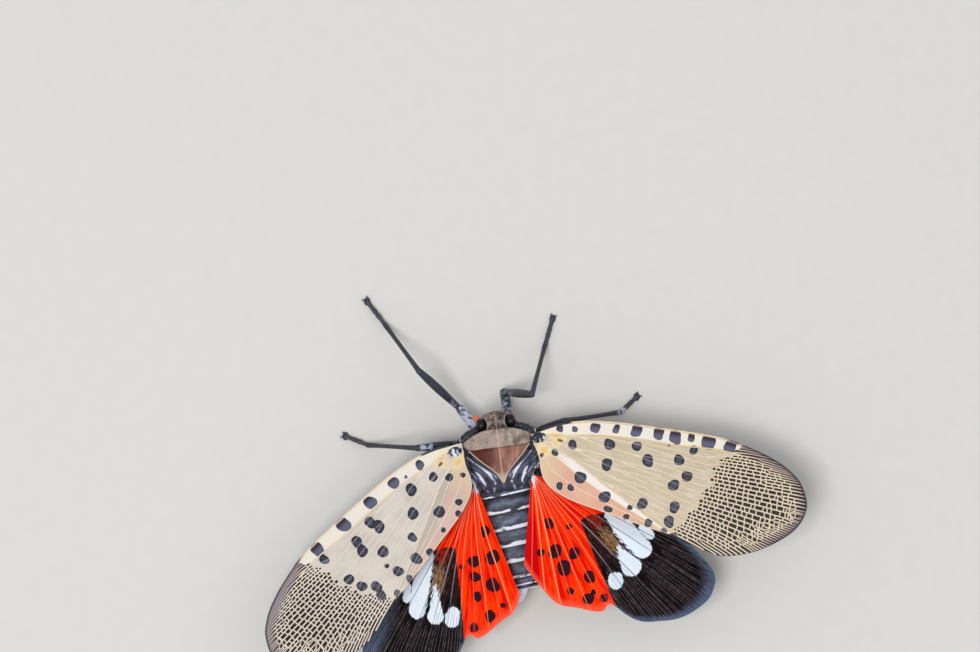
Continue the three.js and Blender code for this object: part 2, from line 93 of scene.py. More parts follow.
class Step:
    """What comes out of one step of a finish. Adding, scaling or mixing it adds a further step."""

    def __init__(self, finish, socket):
        self.finish, self.socket = finish, socket

    def reckoned(self, operation, other):
        return self.finish.step("Math", {0: self, 1: other}, operation=operation)

    def __add__(self, other):
        return self.reckoned("ADD", other)

    def __sub__(self, other):
        return self.reckoned("SUBTRACT", other)

    def __mul__(self, other):
        return self.reckoned("MULTIPLY", other)

    def above(self, low, high):
        """0 where the value is below low, 1 where it is above high."""
        return self.finish.step("MapRange", {"Value": self, "From Min": low, "From Max": high},
                                interpolation_type="SMOOTHSTEP")

    def mix(self, first, second):
        """The first colour where the value is 0, the second where it is 1."""
        first, second = (shade(c) if isinstance(c, tuple) else c for c in (first, second))
        return self.finish.step("Mix", {0: self, 6: first, 7: second}, 2, data_type="RGBA")


class Finish:
    """A material as it is mixed, step by step, and the names of the marks it reads on the mesh."""

    def __init__(self, name, **constants):
        self.material = bpy.data.materials.new(name)
        self.material.use_nodes = True
        self.tree, self.reads = self.material.node_tree, set()
        self.shader = self.tree.nodes["Principled BSDF"]
        for socket, value in constants.items():
            self.shader.inputs[socket.replace("_", " ")].default_value = value

    def put(self, socket, value):
        if isinstance(value, Step):
            self.tree.links.new(value.socket, socket)
        elif value is not None:
            socket.default_value = value

    def step(self, kind, values, out=0, **settings):
        node = self.tree.nodes.new("ShaderNode" + kind)
        for key, value in settings.items():
            setattr(node, key, value)
        for key, value in values.items():
            self.put(node.inputs[key], value)
        return Step(self, node.outputs[out])

    def mark(self, name, *limits, out="Fac"):
        """What the mesh says at each point under this name, or where it lies between two limits."""
        self.reads.add(name)
        said = self.step("Attribute", {}, out, attribute_name=name)
        return said.above(*limits) if limits else said

    def place(self, name=None, stretch=(1, 1, 1)):
        """Where a point is, in millimetres, from the mesh's own map or from the frame."""
        where = self.mark(name, out="Vector") if name else self.step("TexCoord", {}, "Object")
        scale = stretch if name else [s / MM for s in stretch]
        return self.step("Mapping", {"Vector": where, "Scale": scale})

    def noise(self, place, per_mm, detail=4.0):
        return self.step("TexNoise", {"Vector": place, "Scale": per_mm, "Detail": detail}, "Fac")

    def cells(self, place, per_mm):
        return self.step("TexVoronoi", {"Vector": place, "Scale": per_mm}, "Distance")

    def done(self, colour, roughness=None, height=None, depth=0.05):
        """Colour, gloss and relief go into the shader; depth is in millimetres."""
        self.put(self.shader.inputs["Base Color"], colour)
        self.put(self.shader.inputs["Roughness"], roughness)
        if height:
            bump = self.step("Bump", {"Height": height, "Distance": depth * MM, "Strength": 1.0})
            self.put(self.shader.inputs["Normal"], bump)


bpy.ops.mesh.primitive_plane_add(size=FLOOR_SIZE)
floor = bpy.context.object
floor.name = "floor"
paper = Finish("floor_paper", Roughness=0.9)
paper.done(paper.noise(paper.place(), 0.8).mix(*FLOOR_COLOURS))
floor.data.materials.append(paper.material)

sky = bpy.data.worlds.new("sky")
sky.use_nodes = True
sky.node_tree.nodes["Background"].inputs["Color"].default_value = SKY_COLOUR
sky.node_tree.nodes["Background"].inputs["Strength"].default_value = SKY_STRENGTH
bpy.context.scene.world = sky
for name, (place, size, watts) in SOFT_BOXES.items():
    lamp = placed(name, bpy.data.lights.new(name, "AREA"))
    lamp.data.size, lamp.data.energy = size, watts
    lamp.location = place
    lamp.rotation_euler = (-lamp.location).to_track_quat("-Z", "Y").to_euler()

# Thorax. The deep chest that carries all wings and legs: black cuticle under white and bluish wax,
# with folded lobes behind the shields and a waxy knob at each forewing root.
THORAX = (0.08, -4.24), 7.6
THORAX_ENDS, THORAX_FULLNESS, END_BLUNTNESS = (-1.5, 4.0), 3, 0.55
KNOB_AT, KNOB_SIZE = (2.55, -0.05, 5.45), (0.5, 0.8, 0.5)
SHOULDER = (1.6, -1.6, 5.35), (2.95, -0.8, 5.5), (0.28, 0.4, 0.32)
WING_ROOTS = {1: (3.45, -0.12), -1: (3.2, -0.4)}
ROOT_LUMPS = ((1.02, 0.06, 6.12, 0.58, 0.42, 0.34), (0.9, 0.2, 5.75, 0.5, 0.4, 0.4),
              (0.84, 0.75, 5.6, 0.5, 0.7, 0.44), (0.82, 1.65, 5.25, 0.5, 0.85, 0.6),
              (0.66, 2.5, 4.95, 0.42, 0.7, 0.5))
LOBE_FOLD, LOBE_DEPTH, LOBE_WAX = 0.62, 0.11, 0.42
SEAM_DEPTH, SEAM_WIDTH, SEAMS = 0.09, 0.09, (-0.55, 0.75, 2.0, 3.1)
CHEST_ROUGH, LUMP_ROUGH = (0.03, 0.9), (0.07, 0.42)
CREASE = math.radians(50)


def graph(*pairs):
    """A smooth curve through (position, value) pairs."""
    at, value = np.array(pairs, float).T
    slope = np.gradient(value, at)

    def read(where):
        where = np.clip(where, at[0], at[-1])
        k = np.clip(np.searchsorted(at, where) - 1, 0, len(at) - 2)
        gap = at[k + 1] - at[k]
        u = (where - at[k]) / gap
        return ((1 + 2 * u) * (1 - u) ** 2 * value[k] + u * (1 - u) ** 2 * gap * slope[k]
                + u * u * (3 - 2 * u) * value[k + 1] + u * u * (u - 1) * gap * slope[k + 1])

    return read


def unit(value):
    """A value kept between 0 and 1."""
    return np.clip(value, 0, 1)


def hump(value, width):
    """1 where the value is 0, less on both sides of it."""
    return np.exp(-(value / width) ** 2)


def squared(value, fullness):
    """A squared circle: 2 is round, more is fuller at the corners."""
    return np.sign(value) * np.abs(value) ** (2 / fullness)


def full_turn(columns):
    return np.linspace(0, 2 * np.pi, columns, endpoint=False)


def points_of(*parts):
    """Points from their parts, each a number or a grid."""
    return np.stack(np.broadcast_arrays(*parts), -1)


def lengthwise(ends, rows):
    """Stations from end to end of a body region, and how full it is at each."""
    part = np.linspace(0, 1, rows)[:, None]
    full = unit(np.sin(np.pi * part)) ** END_BLUNTNESS
    return ends[0] + (ends[1] - ends[0]) * (1 - np.cos(np.pi * part)) / 2, full


def wavy(points, seed, length):
    """A smooth random height between -1 and 1 at each point."""
    draw = np.random.default_rng(seed)
    total = np.zeros(points.shape[:-1])
    for _ in range(6):
        wave = draw.normal(size=3) * 2 * np.pi / length
        total += np.sin(points @ wave + draw.uniform(0, 2 * np.pi)) / 6
    return total * 1.6


def skin(rings):
    """A closed skin over rings of points, the first and last of which close to a point."""
    rows, columns = rings.shape[:2]
    points = np.vstack([rings[0].mean(0), rings[1:-1].reshape(-1, 3), rings[-1].mean(0)])
    here = np.arange(columns)
    there = (here + 1) % columns
    faces = []
    for row in range(rows - 3):
        near, far = 1 + row * columns, 1 + (row + 1) * columns
        faces += np.stack([near + here, near + there, far + there, far + here], -1).tolist()
    last = 1 + (rows - 3) * columns
    faces += np.stack([1 + there, 1 + here, 0 * here], -1).tolist()
    faces += np.stack([last + here, last + there, 0 * here + len(points) - 1], -1).tolist()
    return points, faces


def ball(rows, columns, at, size):
    """A rounded knob."""
    along, around = np.linspace(0, np.pi, rows + 1)[:, None], full_turn(columns)
    x, y = np.sin(along) * np.cos(around), np.sin(along) * np.sin(around)
    return skin(points_of(x, y, np.cos(along)) * np.array(size) + np.array(at))


def limb(start, end, radii, columns=14, rows=16):
    """A length of limb with rounded ends, thicker or thinner along it."""
    start, end = np.array(start, float), np.array(end, float)
    length = np.linalg.norm(end - start)
    axis = (end - start) / length
    side = np.cross(axis, [0, 0, 1.0] if abs(axis[2]) < 0.9 else [0, 1.0, 0])
    side /= np.linalg.norm(side)
    lift = np.cross(side, axis)
    part = np.linspace(0, 1, rows)
    cap = np.array([1.0, 0.92, 0.7, 0.38, 0.0])
    out = np.sqrt(1 - cap ** 2)
    along = np.concatenate([-radii[0] * cap * 0.8, part * length, length + radii[-1] * cap[::-1] * 0.8])
    radius = np.interp(part, np.linspace(0, 1, len(radii)), radii)
    radius = np.concatenate([radii[0] * out, radius, radii[-1] * out[::-1]])
    turn = full_turn(columns)[:, None]
    spoke = np.cos(turn) * side + np.sin(turn) * lift
    return skin(start + along[:, None, None] * axis + radius[:, None, None] * spoke)


def joined(shells):
    """Several closed shells as one."""
    points, faces, count = [], [], 0
    for some, ring in shells:
        points.append(some)
        faces += [[corner + count for corner in face] for face in ring]
        count += len(some)
    return np.vstack(points), faces


def mesh_piece(name, finish, shell, marks, region=None):
    """One piece of the insect, from a closed shell in its region or in plan, with its marks."""
    points, faces = shell
    points = stood(points, *region) if region else points
    mesh = bpy.data.meshes.new(name)
    mesh.from_pydata(((points + ORIGIN) * MM).tolist(), [], faces)
    shape = bmesh.new()
    shape.from_mesh(mesh)
    bmesh.ops.recalc_face_normals(shape, faces=shape.faces)
    shape.to_mesh(mesh)
    shape.free()
    mesh.shade_smooth()
    mesh.set_sharp_from_angle(angle=CREASE)
    for mark in sorted(finish.reads):
        kind, field = ("FLOAT", "value") if marks[mark].ndim == 1 else ("FLOAT_VECTOR", "vector")
        layer = mesh.attributes.new(mark, kind, "POINT")
        layer.data.foreach_set(field, np.ascontiguousarray(marks[mark], np.float32).ravel())
    mesh.materials.append(finish.material)
    return placed(name, mesh)


thorax_half = graph((-1.5, 2.2), (-0.4, 2.85), (0.8, 2.9), (2, 2.75), (2.8, 2.5), (3.4, 2.25), (4, 2))
thorax_top = graph((-1.5, 5.7), (0, 6.5), (1.5, 6.45), (2.6, 6.0), (4, 5.35))
thorax_bottom = graph((-1.5, 2.5), (0, 1.9), (2, 1.75), (4, 2.0))
shield_edge = graph((0, 2.5), (0.3, 2.25), (0.75, 1.84), (1.2, 1.38), (1.6, 0.94), (2, 0.57),
                    (2.6, 0.23), (2.9, 0.1))


def lobe_fold(x, y):
    """How far out from the rear shield's slanted edge a point of the back lies."""
    return (np.abs(x) - shield_edge(y)) * 0.76 - np.clip(y - 2.9, 0, None) * 0.35


def chest():
    """The chest from front to back, with its side seams and the folded lobes on its back."""
    y, full = lengthwise(THORAX_ENDS, 97)
    around = full_turn(120)
    top, bottom = thorax_top(y), thorax_bottom(y)
    across = squared(np.cos(around), THORAX_FULLNESS)
    up = squared(np.sin(around), THORAX_FULLNESS)
    x = thorax_half(y) * full * across
    z = (top + bottom) / 2 + (top - bottom) / 2 * full * up
    back = unit(up * 3 - 1.2) * unit((y - 0.5) * 2) * unit((4 - y) * 3)
    fold = 0.5 - np.cos(2 * np.pi * lobe_fold(x, y) / LOBE_FOLD) * 0.5
    side = unit(np.abs(across) * 3 - 1.4) * (1 - back)
    seams = sum(hump(y + 0.25 * (z - 4) - at, SEAM_WIDTH) for at in SEAMS)
    sunk = back * fold * LOBE_DEPTH + side * seams * SEAM_DEPTH
    points = points_of(x - sunk * across * 0.8, y, z - sunk * up)
    rough = CHEST_ROUGH[0] * wavy(points, 3, CHEST_ROUGH[1])
    return points + rough[..., None] * np.array([1, 0, 1])


thorax_shells = [skin(chest())]
for side, (root_x, root_y) in WING_ROOTS.items():
    lumps = [ball(24, 30, (side * KNOB_AT[0], *KNOB_AT[1:]), KNOB_SIZE)]
    for near, behind, z, *size in ROOT_LUMPS:
        lumps.append(ball(24, 30, (side * root_x * near, root_y + behind, z), size))
    lumps.append(limb(*[(side * x, *rest) for x, *rest in SHOULDER[:2]], SHOULDER[2], 24, 24))
    for points, faces in lumps:
        rough = LUMP_ROUGH[0] * wavy(points, 5, LUMP_ROUGH[1])
        thorax_shells.append((points + rough[:, None], faces))
thorax_shell = joined(thorax_shells)

wax = Finish("waxed_cuticle", Specular_IOR_Level=0.45)
streak = wax.noise(wax.place("lie"), 1.1, 6.0) - 0.5
grain = wax.noise(wax.place(), 7.0, 5.0)
haze = (wax.mark("haze") + streak * 2.0).above(0.1, 1.0)
white = (wax.mark("wax") + streak * 2.6).above(0.5, 0.8)
blue = haze.mix(grain.mix((18, 17, 25), (44, 43, 58)), grain.mix((84, 86, 118), (112, 124, 150)))
chalk = grain.mix((206, 210, 224), (236, 238, 246))
wax.done(white.mix(blue, chalk), white.above(-0.9, 1.0), grain + white)

x, y, z = thorax_shell[0].T
out = lobe_fold(x, y)
ridge = unit(np.cos(2 * np.pi * (out - LOBE_WAX) / LOBE_FOLD)) ** 2 * unit(out * 4)
behind = unit(y - 0.2) * unit((3.6 - y) * 2)
shoulder = unit((np.abs(x) - 2.75) * 4)
thorax = mesh_piece("chest_and_lobes", wax, thorax_shell, {
    "wax": 0.24 + 0.6 * behind * ridge + 0.24 * shoulder,
    "haze": 0.08 + 0.42 * behind - 0.5 * shoulder,
    "lie": points_of(out * 2.6, y * 0.7, z * 1.2)}, THORAX)
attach(thorax, "root")
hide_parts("thorax")

# Abdomen. Seven rings of blue-black cuticle that each reach over the next, with a ragged rim of
# white wax along every hind edge and a small pale tail piece, joined to the back of the chest.
ABDOMEN = (-0.416, -0.528), 12.0
RING_ENDS = (-0.6, 0.15, 1.46, 2.9, 4.26, 5.59, 6.88, 7.57, 7.95)
RING_STEP, RING_SWELL, RING_LAP, RING_FULLNESS = 0.15, 0.06, 1.06, 2.2
RING_STATIONS, RING_SIDES, RING_MIDDLES = 15, 96, (3.3, 2.7)
TAIL, TAIL_HEIGHT, TAIL_SIZE = ((0.35, 8.15), -32.0), 2.75, (0.42, 0.95, 0.36)
abdomen_half = graph((-0.6, 2.0), (0, 2.05), (1.5, 2.3), (4, 2.1), (6, 1.6), (7.2, 1.25), (7.95, 1.0))
abdomen_top = graph((-0.6, 4.8), (0, 4.85), (1.5, 4.85), (4, 4.35), (6, 3.95), (7.95, 3.5))
abdomen_bottom = graph((-0.6, 2.0), (0, 1.9), (2, 1.65), (5, 1.6), (7.95, 1.95))

rings = []
for start, end in zip(RING_ENDS, RING_ENDS[1:]):
    for part in np.linspace(0, 1, RING_STATIONS):
        sunk = RING_STEP * (1 - min(part * 1.6, 1) ** 0.8) - RING_SWELL * math.sin(math.pi * part)
        rings.append((start + (end - start) * min(part * 1.08, RING_LAP), sunk, part))
along, sunk, part = np.array(rings).T[..., None]
top, bottom = abdomen_top(along), abdomen_bottom(along)
around = full_turn(RING_SIDES)
x = (abdomen_half(along) - sunk) * squared(np.cos(around), RING_FULLNESS)
z = (top + bottom) / 2 + ((top - bottom) / 2 - sunk) * squared(np.sin(around), RING_FULLNESS)
rings = points_of(x, along, z)
front, back = (ring * [0, 1, 0] + [0, 0, z] for ring, z in zip((rings[:1], rings[-1:]), RING_MIDDLES))
ring_shell = skin(np.concatenate([front, rings, back]))
tail_points, tail_faces = ball(16, 20, (0, 0, TAIL_HEIGHT), TAIL_SIZE)
abdomen_shell = joined([ring_shell, (stood(tail_points, *TAIL), tail_faces)])
part = np.concatenate([[0], np.repeat(part, RING_SIDES), [1]])
on_tail = np.ones(len(tail_points))
abdomen = mesh_piece("abdomen_rings", wax, abdomen_shell, {
    "wax": np.concatenate([unit((part - 0.7) / 0.16) * 0.95, on_tail]),
    "haze": np.concatenate([np.sin(np.pi * unit(part * 1.2 - 0.1)), on_tail]) * 0.5,
    "lie": abdomen_shell[0] * [0.9, 1.8, 0.9]}, ABDOMEN)
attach(abdomen, "root")
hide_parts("abdomen")

# Shields. Two curved plates of hard cuticle on the back of the chest: the beige collar behind the
# head, dotted with fine pits, and the red-brown three-cornered plate with its cream rim.
SHIELD_THICK = 0.42
COLLAR_HALF, COLLAR_CREST, COLLAR_CURVE = 3.0, 6.75, (0.11, 0.12)
PLATE_LENGTH, PLATE_CREST, PLATE_CURVE = 2.9, 7.0, (0.09, 0.18, 0.05)
collar_front = graph((0, -1.5), (1.2, -1.42), (2.2, -1.05), (3, -0.55))
collar_back = graph((0, 0.07), (1.2, 0.08), (2.1, 0.08), (2.6, -0.12), (3, -0.45))


def sheet(upper, lower):
    """A closed thin body between two grids of points."""
    rows, columns = upper.shape[:2]
    grid = np.arange(rows * columns).reshape(rows, columns)
    cells = np.stack([grid[:-1, :-1], grid[:-1, 1:], grid[1:, 1:], grid[1:, :-1]], -1).reshape(-1, 4)
    under = rows * columns
    rim = np.concatenate([grid[0, :-1], grid[:-1, -1], grid[-1, :0:-1], grid[:0:-1, 0]])
    after = np.roll(rim, -1)
    walls = np.stack([rim, rim + under, after + under, after], -1)
    points = np.vstack([upper.reshape(-1, 3), lower.reshape(-1, 3)])
    return points, np.vstack([cells, cells[:, ::-1] + under, walls]).tolist()


def shield(x, y, crown):
    """A plate under its crown, with rounded edges, on the grid of across and along."""
    edge = np.minimum(1 - np.abs(across), np.minimum(along, 1 - along) * 2)
    thick = SHIELD_THICK * (0.25 + 0.75 * unit(edge * 9) ** 0.5)
    return sheet(points_of(x, y, crown - (SHIELD_THICK - thick) / 2),
                 points_of(x, y, crown - (SHIELD_THICK + thick) / 2))


across, along = np.linspace(-1, 1, 121), np.linspace(0, 1, 41)[:, None]
x = across * COLLAR_HALF
front, back = collar_front(np.abs(x)), collar_back(np.abs(x))
y = front + (back - front) * along
crown = COLLAR_CREST - COLLAR_CURVE[0] * x * x - COLLAR_CURVE[1] * y * y
crown = crown + 0.05 * hump(x, 0.05) - 0.05 * hump(np.abs(x) - 0.75, 0.2)
collar_shell = shield(x, y, crown + 0.02 * wavy(points_of(x, y, 0), 11, 0.8))

horn = Finish("collar_cuticle", Specular_IOR_Level=0.4)
place = horn.place()
mottle = horn.noise(place, 1.6, 5.0)
beige = mottle.above(0.3, 0.7).mix((102, 89, 78), (170, 154, 140))
blush = horn.noise(place, 0.7, 2.0).above(0.4, 0.65) * 0.5
beige = blush.mix(beige, (168, 142, 131))
flecks = horn.cells(place, 3.6).above(0.3, 0.14) * horn.noise(place, 1.1, 2.0).above(0.44, 0.6)
beige = (flecks * 0.9).mix(beige, (66, 52, 44))
beige = horn.mark("midline").mix(beige, (206, 190, 168))
horn.done(horn.mark("fringe").mix(beige, (84, 66, 56)), mottle.above(-0.6, 1.4), mottle)
x, y, z = collar_shell[0].T
collar = mesh_piece("collar_shield", horn, collar_shell, {
    "midline": hump(x, 0.045) * 0.7,
    "fringe": unit((np.abs(x) - 2.45) / 0.5) * 0.55 + hump(y - collar_back(np.abs(x)), 0.06) * 0.5},
    THORAX)
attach(collar, "root")
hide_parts("pronotum")

y = PLATE_LENGTH * along
x = across * shield_edge(y)
crown = PLATE_CREST - PLATE_CURVE[0] * x * x - PLATE_CURVE[1] * np.clip(y - 1, 0, None) ** 2
crown = crown - PLATE_CURVE[2] * (y - 1) ** 2 + 0.04 * hump(x, 0.06)
plate_shell = shield(x, y, crown - 0.05 * hump((1 - np.abs(across)) / 0.1 - 1.3, 1))

back_plate = Finish("rear_shield_cuticle", Specular_IOR_Level=0.25)
mottle = back_plate.noise(back_plate.place(None, (1, 0.35, 1)), 1.7, 5.0)
brown = mottle.above(0.3, 0.7).mix((126, 80, 66), (182, 136, 122))
# Painted shade: the mark named side below darkens the front of the plate from its right towards its left
# edge, strongest on the insect's left side, and a little along its far right edge.
for mark, colour in (("side", (78, 27, 8)), ("tip", (188, 174, 154)), ("midline", (214, 182, 150)),
                     ("rim", (206, 192, 164))):
    brown = back_plate.mark(mark).mix(brown, colour)
back_plate.done(brown, mottle.above(-0.8, 1.5), mottle, 0.04)
x, y, z = plate_shell[0].T
rear_shield = mesh_piece("rear_shield", back_plate, plate_shell, {
    "midline": hump(x, 0.05) * 0.6, "rim": unit(1.7 - (shield_edge(y) - np.abs(x)) / 0.09),
    # Painted shade, strongest over the insect's left half of the plate.
    "side": (unit(x * 0.55 + 0.48) + np.clip(-x - 1.3, 0, 0.5)) * unit(2.2 - y),
    "tip": unit((y - 1.95) / 0.5) * 0.85}, THORAX)
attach(rear_shield, "root")
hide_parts("mesonotum")

# Head. A short brown cap with a steep face under it, keeled along its middle and both sides, and
# set in the front of the chest. The eyes sit in its sides, each with an orange feeler below.
HEAD_ENDS, HEAD_FULLNESS = (2.75, 6.25), (2.5, 2.3)
KEEL_HEIGHT, KEEL_WIDTHS, KEEL_APART, CROWN_HOLLOW = 0.07, (0.08, 0.09), 0.62, 0.07
EYE_SIZE = (0.45, 0.58, 0.7)
FEELERS = {"left": (1.5, -0.45, 3.72), "right": (-1.2, -0.34, 3.72)}
FEELER_SIZE, BRISTLE, STALK = (0.27, 0.28, 0.33), (0.88, -0.55, -0.28), (-0.45, 0.25, 0.05)
head_front = graph((2.8, 0.15), (3.4, -0.15), (4, -0.45), (4.8, -0.8), (5.4, -0.98), (6.2, -0.8))
head_back = graph((2.8, 0.55), (3.4, 0.85), (4.2, 1), (6.2, 1))
head_half = graph((2.8, 0.45), (3.2, 0.66), (3.6, 0.88), (4.4, 1.16), (5.4, 1.38), (6.2, 1.22))


def head_rings():
    """The head from its foot to its crown, keeled and hollowed, with a notch for each eye."""
    z, full = lengthwise(HEAD_ENDS, 81)
    around = full_turn(112)
    forward = squared(np.sin(around), HEAD_FULLNESS[1])
    x = head_half(z) * full * squared(np.cos(around), HEAD_FULLNESS[0])
    y = (head_front(z) + head_back(z)) / 2 + (head_back(z) - head_front(z)) / 2 * full * forward
    face = unit(-forward * 2) * unit((6.1 - z) * 2)
    keel = hump(x, KEEL_WIDTHS[0]) + hump(np.abs(x) - KEEL_APART * head_half(z), KEEL_WIDTHS[1])
    hollow = unit((z - 5.9) * 4) * CROWN_HOLLOW * (1 - hump(x, 0.1)) * np.exp(-(x / 0.85) ** 4)
    beside = unit(1 - ((y - EYE_AT[1]) / (EYE_SIZE[1] * 1.04)) ** 2)
    reach = EYE_AT[0] - EYE_SIZE[0] * 1.02 * np.sqrt(beside)
    notch = unit((z - EYE_AT[2] + 0.75) * 4) * (beside > 0) * np.clip(np.abs(x) - reach, 0, None)
    return points_of(x - np.sign(x) * notch, y - KEEL_HEIGHT * face * keel, z - hollow)


head_shell = skin(head_rings())
brow = Finish("head_cuticle", Specular_IOR_Level=0.35)
mottle = brow.noise(brow.place(), 2.3, 6.0)
brown = mottle.above(0.36, 0.66).mix((50, 40, 37), (142, 124, 114))
brown = brow.noise(brow.place(), 5.5, 3.0).above(0.56, 0.66).mix(brown, (40, 28, 26))
brown = brow.mark("keel").mix(brown, (176, 150, 132))
brow.done(brow.mark("orbit").mix(brown, (158, 148, 140)), mottle.above(-0.9, 1.3), mottle, 0.06)
x, y, z = head_shell[0].T
orbit = np.hypot((np.abs(x) - EYE_AT[0]) / EYE_SIZE[0], (y - EYE_AT[1]) / EYE_SIZE[1])
head = mesh_piece("head_capsule", brow, head_shell,
                  {"keel": hump(x, 0.06) * 0.5, "orbit": hump(orbit - 1.1, 0.1) * 0.7}, HEAD)
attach(head, "root")
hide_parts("head")

lens = Finish("eye_lens", Roughness=0.14, Specular_IOR_Level=0.3)
lens.done(lens.noise(lens.place(), 2.0, 2.0).mix((7, 6, 8), (26, 20, 21)), None,
          lens.cells(lens.place(), 14.0), 0.002)
feeler = Finish("feeler_cuticle", Specular_IOR_Level=0.5)
grain = feeler.noise(feeler.place(), 9.0, 3.0)
feeler.done(grain.mix((214, 76, 34), (246, 134, 84)), grain, feeler.cells(feeler.place(), 8.0), 0.03)

for name, side in {"left": 1, "right": -1}.items():
    eye_shell = ball(48, 64, (side * EYE_AT[0], *EYE_AT[1:]), EYE_SIZE)
    eye = mesh_piece(f"eye_{name}_lens", lens, eye_shell, {}, HEAD)
    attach(eye, "root")
    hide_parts(f"eye_{name}")

    bulb = np.array(FEELERS[name])
    tip, stalk = (bulb + [side * out, *rest] for out, *rest in (BRISTLE, STALK))
    feeler_shell = joined([
        ball(20, 24, bulb, FEELER_SIZE), limb(stalk, bulb, (0.24, 0.2, 0.26)),
        limb(bulb, bulb * 0.7 + tip * 0.3, (0.2, 0.1, 0.03)), limb(bulb, tip, (0.04, 0.02, 0.008))])
    made = mesh_piece(f"feeler_{name}", feeler, feeler_shell, {}, HEAD)
    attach(made, "root")
    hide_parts(f"antenna_{name}")

# Legs and beak. Six thin jointed legs of black cuticle, with pale wax at their roots, three-part
# feet with claws, and spines on the hind shins, hung under the chest. The beak lies between them.
LEGS = {
    "front_left": ((1.34, -4.98, 2.7), (3.2, -7.2, 2.2), (6.52, -10.32, 4.6), (9.31, -14, 0.5),
                   (10.8, -15.92, 0.2)),
    "front_right": ((-0.94, -5.28, 2.6), (-0.35, -8.56, 1.2), (-2.56, -8.44, 5.4), (-3.68, -12.4, 0.5),
                    (-4.28, -14.51, 0.2)),
    "mid_left": ((1.29, -3.47, 2.3), (2.4, -4.45, 1.9), (6.64, -4.12, 4.6), (10.72, -4.24, 0.5),
                 (12.56, -4.96, 0.2)),
    "mid_right": ((-1.29, -3.82, 2.3), (-1.9, -4.95, 1.9), (-5.28, -6.32, 4.6), (-9.84, -6.92, 0.5),
                  (-11.12, -8.16, 0.2)),
    "hind_left": ((0.78, -1.93, 2.2), (1.75, -1.7, 1.7), (4.9, -0.9, 4.2), (6.6, 7.4, 0.5), (7, 9.4, 0.2)),
    "hind_right": ((-1.2, -2.19, 2.2), (-2.15, -2.2, 1.7), (-5, -2, 4.2), (-5.9, 5.7, 0.5),
                   (-6.2, 7.6, 0.2)),
}
COXA, FEMUR, TIBIA = (0.44, 0.44, 0.37), (0.24, 0.3, 0.36, 0.34, 0.26), (0.23, 0.19, 0.175, 0.175, 0.22)
TARSUS, TARSUS_PARTS = (0.19, 0.16, 0.21), ((0.0, 0.4), (0.42, 0.58), (0.6, 0.97))
HIND_SPINES, SPINE_LENGTH, SPINE_RADII = 5, 0.42, (0.1, 0.07, 0.015)
FOOT_PAD, CLAW = (0.26, 0.34, 0.16), 0.32
BEAK, BEAK_RADIUS = ((0, -1.25, 2.15), (0, 3.1, 0.95), (0, 0.4, 1.7)), 0.27

shin = Finish("leg_cuticle", Specular_IOR_Level=0.5)
grain = shin.noise(shin.place(), 6.0, 5.0)
bloom = shin.noise(shin.place(), 2.6, 5.0).above(0.38, 0.6) * shin.mark("wax")
black = grain.mix((16, 17, 22), (56, 60, 72))
shin.done(bloom.above(0.05, 0.9).mix(black, (176, 186, 206)), bloom.above(-0.7, 1.0), grain)


def leg_shells(hip, trochanter, knee, ankle, toe, spines):
    """The lengths of one leg, its foot, claws and spines."""
    step, down = toe - ankle, ankle - knee
    shells = [limb(hip, trochanter, COXA, 20), limb(trochanter, knee, FEMUR, 20, 28),
              limb(knee, ankle, TIBIA, 18, 28)]
    for start, end in TARSUS_PARTS:
        shells.append(limb(ankle + step * start, ankle + step * end, TARSUS, 14, 10))
    shells.append(ball(12, 18, (*toe[:2], FOOT_PAD[2]), FOOT_PAD))
    ahead = step / np.linalg.norm(step)
    across = np.array([-ahead[1], ahead[0], 0])
    for side in (1, -1):
        root = toe + across * side * 0.1 + ahead * 0.1
        bend = root + ahead * CLAW * 0.6 + across * side * 0.12 + [0, 0, 0.06]
        shells.append(limb(root, bend, (0.08, 0.06, 0.05), 8, 5))
        shells.append(limb(bend, bend + ahead * CLAW * 0.4 - [0, 0, 0.16], (0.05, 0.015), 8, 4))
    out = np.cross(down, [0, 0, 1.0])
    spine = (down / np.linalg.norm(down) * 0.75 + out / np.linalg.norm(out) * 0.65) * SPINE_LENGTH
    for k in range(spines):
        root = knee + down * (0.3 + 0.65 * k / (spines - 1))
        shells.append(limb(root, root + spine, SPINE_RADII, 8, 5))
    return shells


for name, joints in LEGS.items():
    joints = hip, trochanter, knee, ankle, toe = np.array(joints, float)
    shell = joined(leg_shells(*joints, HIND_SPINES if name.startswith("hind") else 0))
    root = unit(1.15 - np.linalg.norm(shell[0] - (hip + trochanter) / 2, axis=1) / 2.4)
    waxed = root * (1.2 if name == "front_left" else 0.6) + 0.12
    # The pale patch on the mid-left femur by the knee is a painted highlight on the glossy black leg; the
    # mid-right patch pales that leg at its ankle.
    pale = {"mid_left": (knee * 0.85 + trochanter * 0.15, 0.9), "mid_right": (ankle, 0.6)}.get(name)
    if pale:
        waxed = waxed + unit(1.2 - np.linalg.norm(shell[0] - pale[0], axis=1) / pale[1])
    made = mesh_piece(f"{name}_leg", shin, shell, {"wax": waxed})
    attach(made, "root")
    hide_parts(f"leg_{name}")

beak_shell = joined([limb(BEAK[0], BEAK[1], BEAK_RADIUS * np.array([1.15, 1, 0.9, 0.7]), 18, 40),
                     limb(BEAK[0], BEAK[2], BEAK_RADIUS * np.array([1.2, 1.12]), 18, 12)])
beak = mesh_piece("beak_sheath", shin, beak_shell, {"wax": np.full(len(beak_shell[0]), 0.15)}, THORAX)
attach(beak, "root")
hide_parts("rostrum")

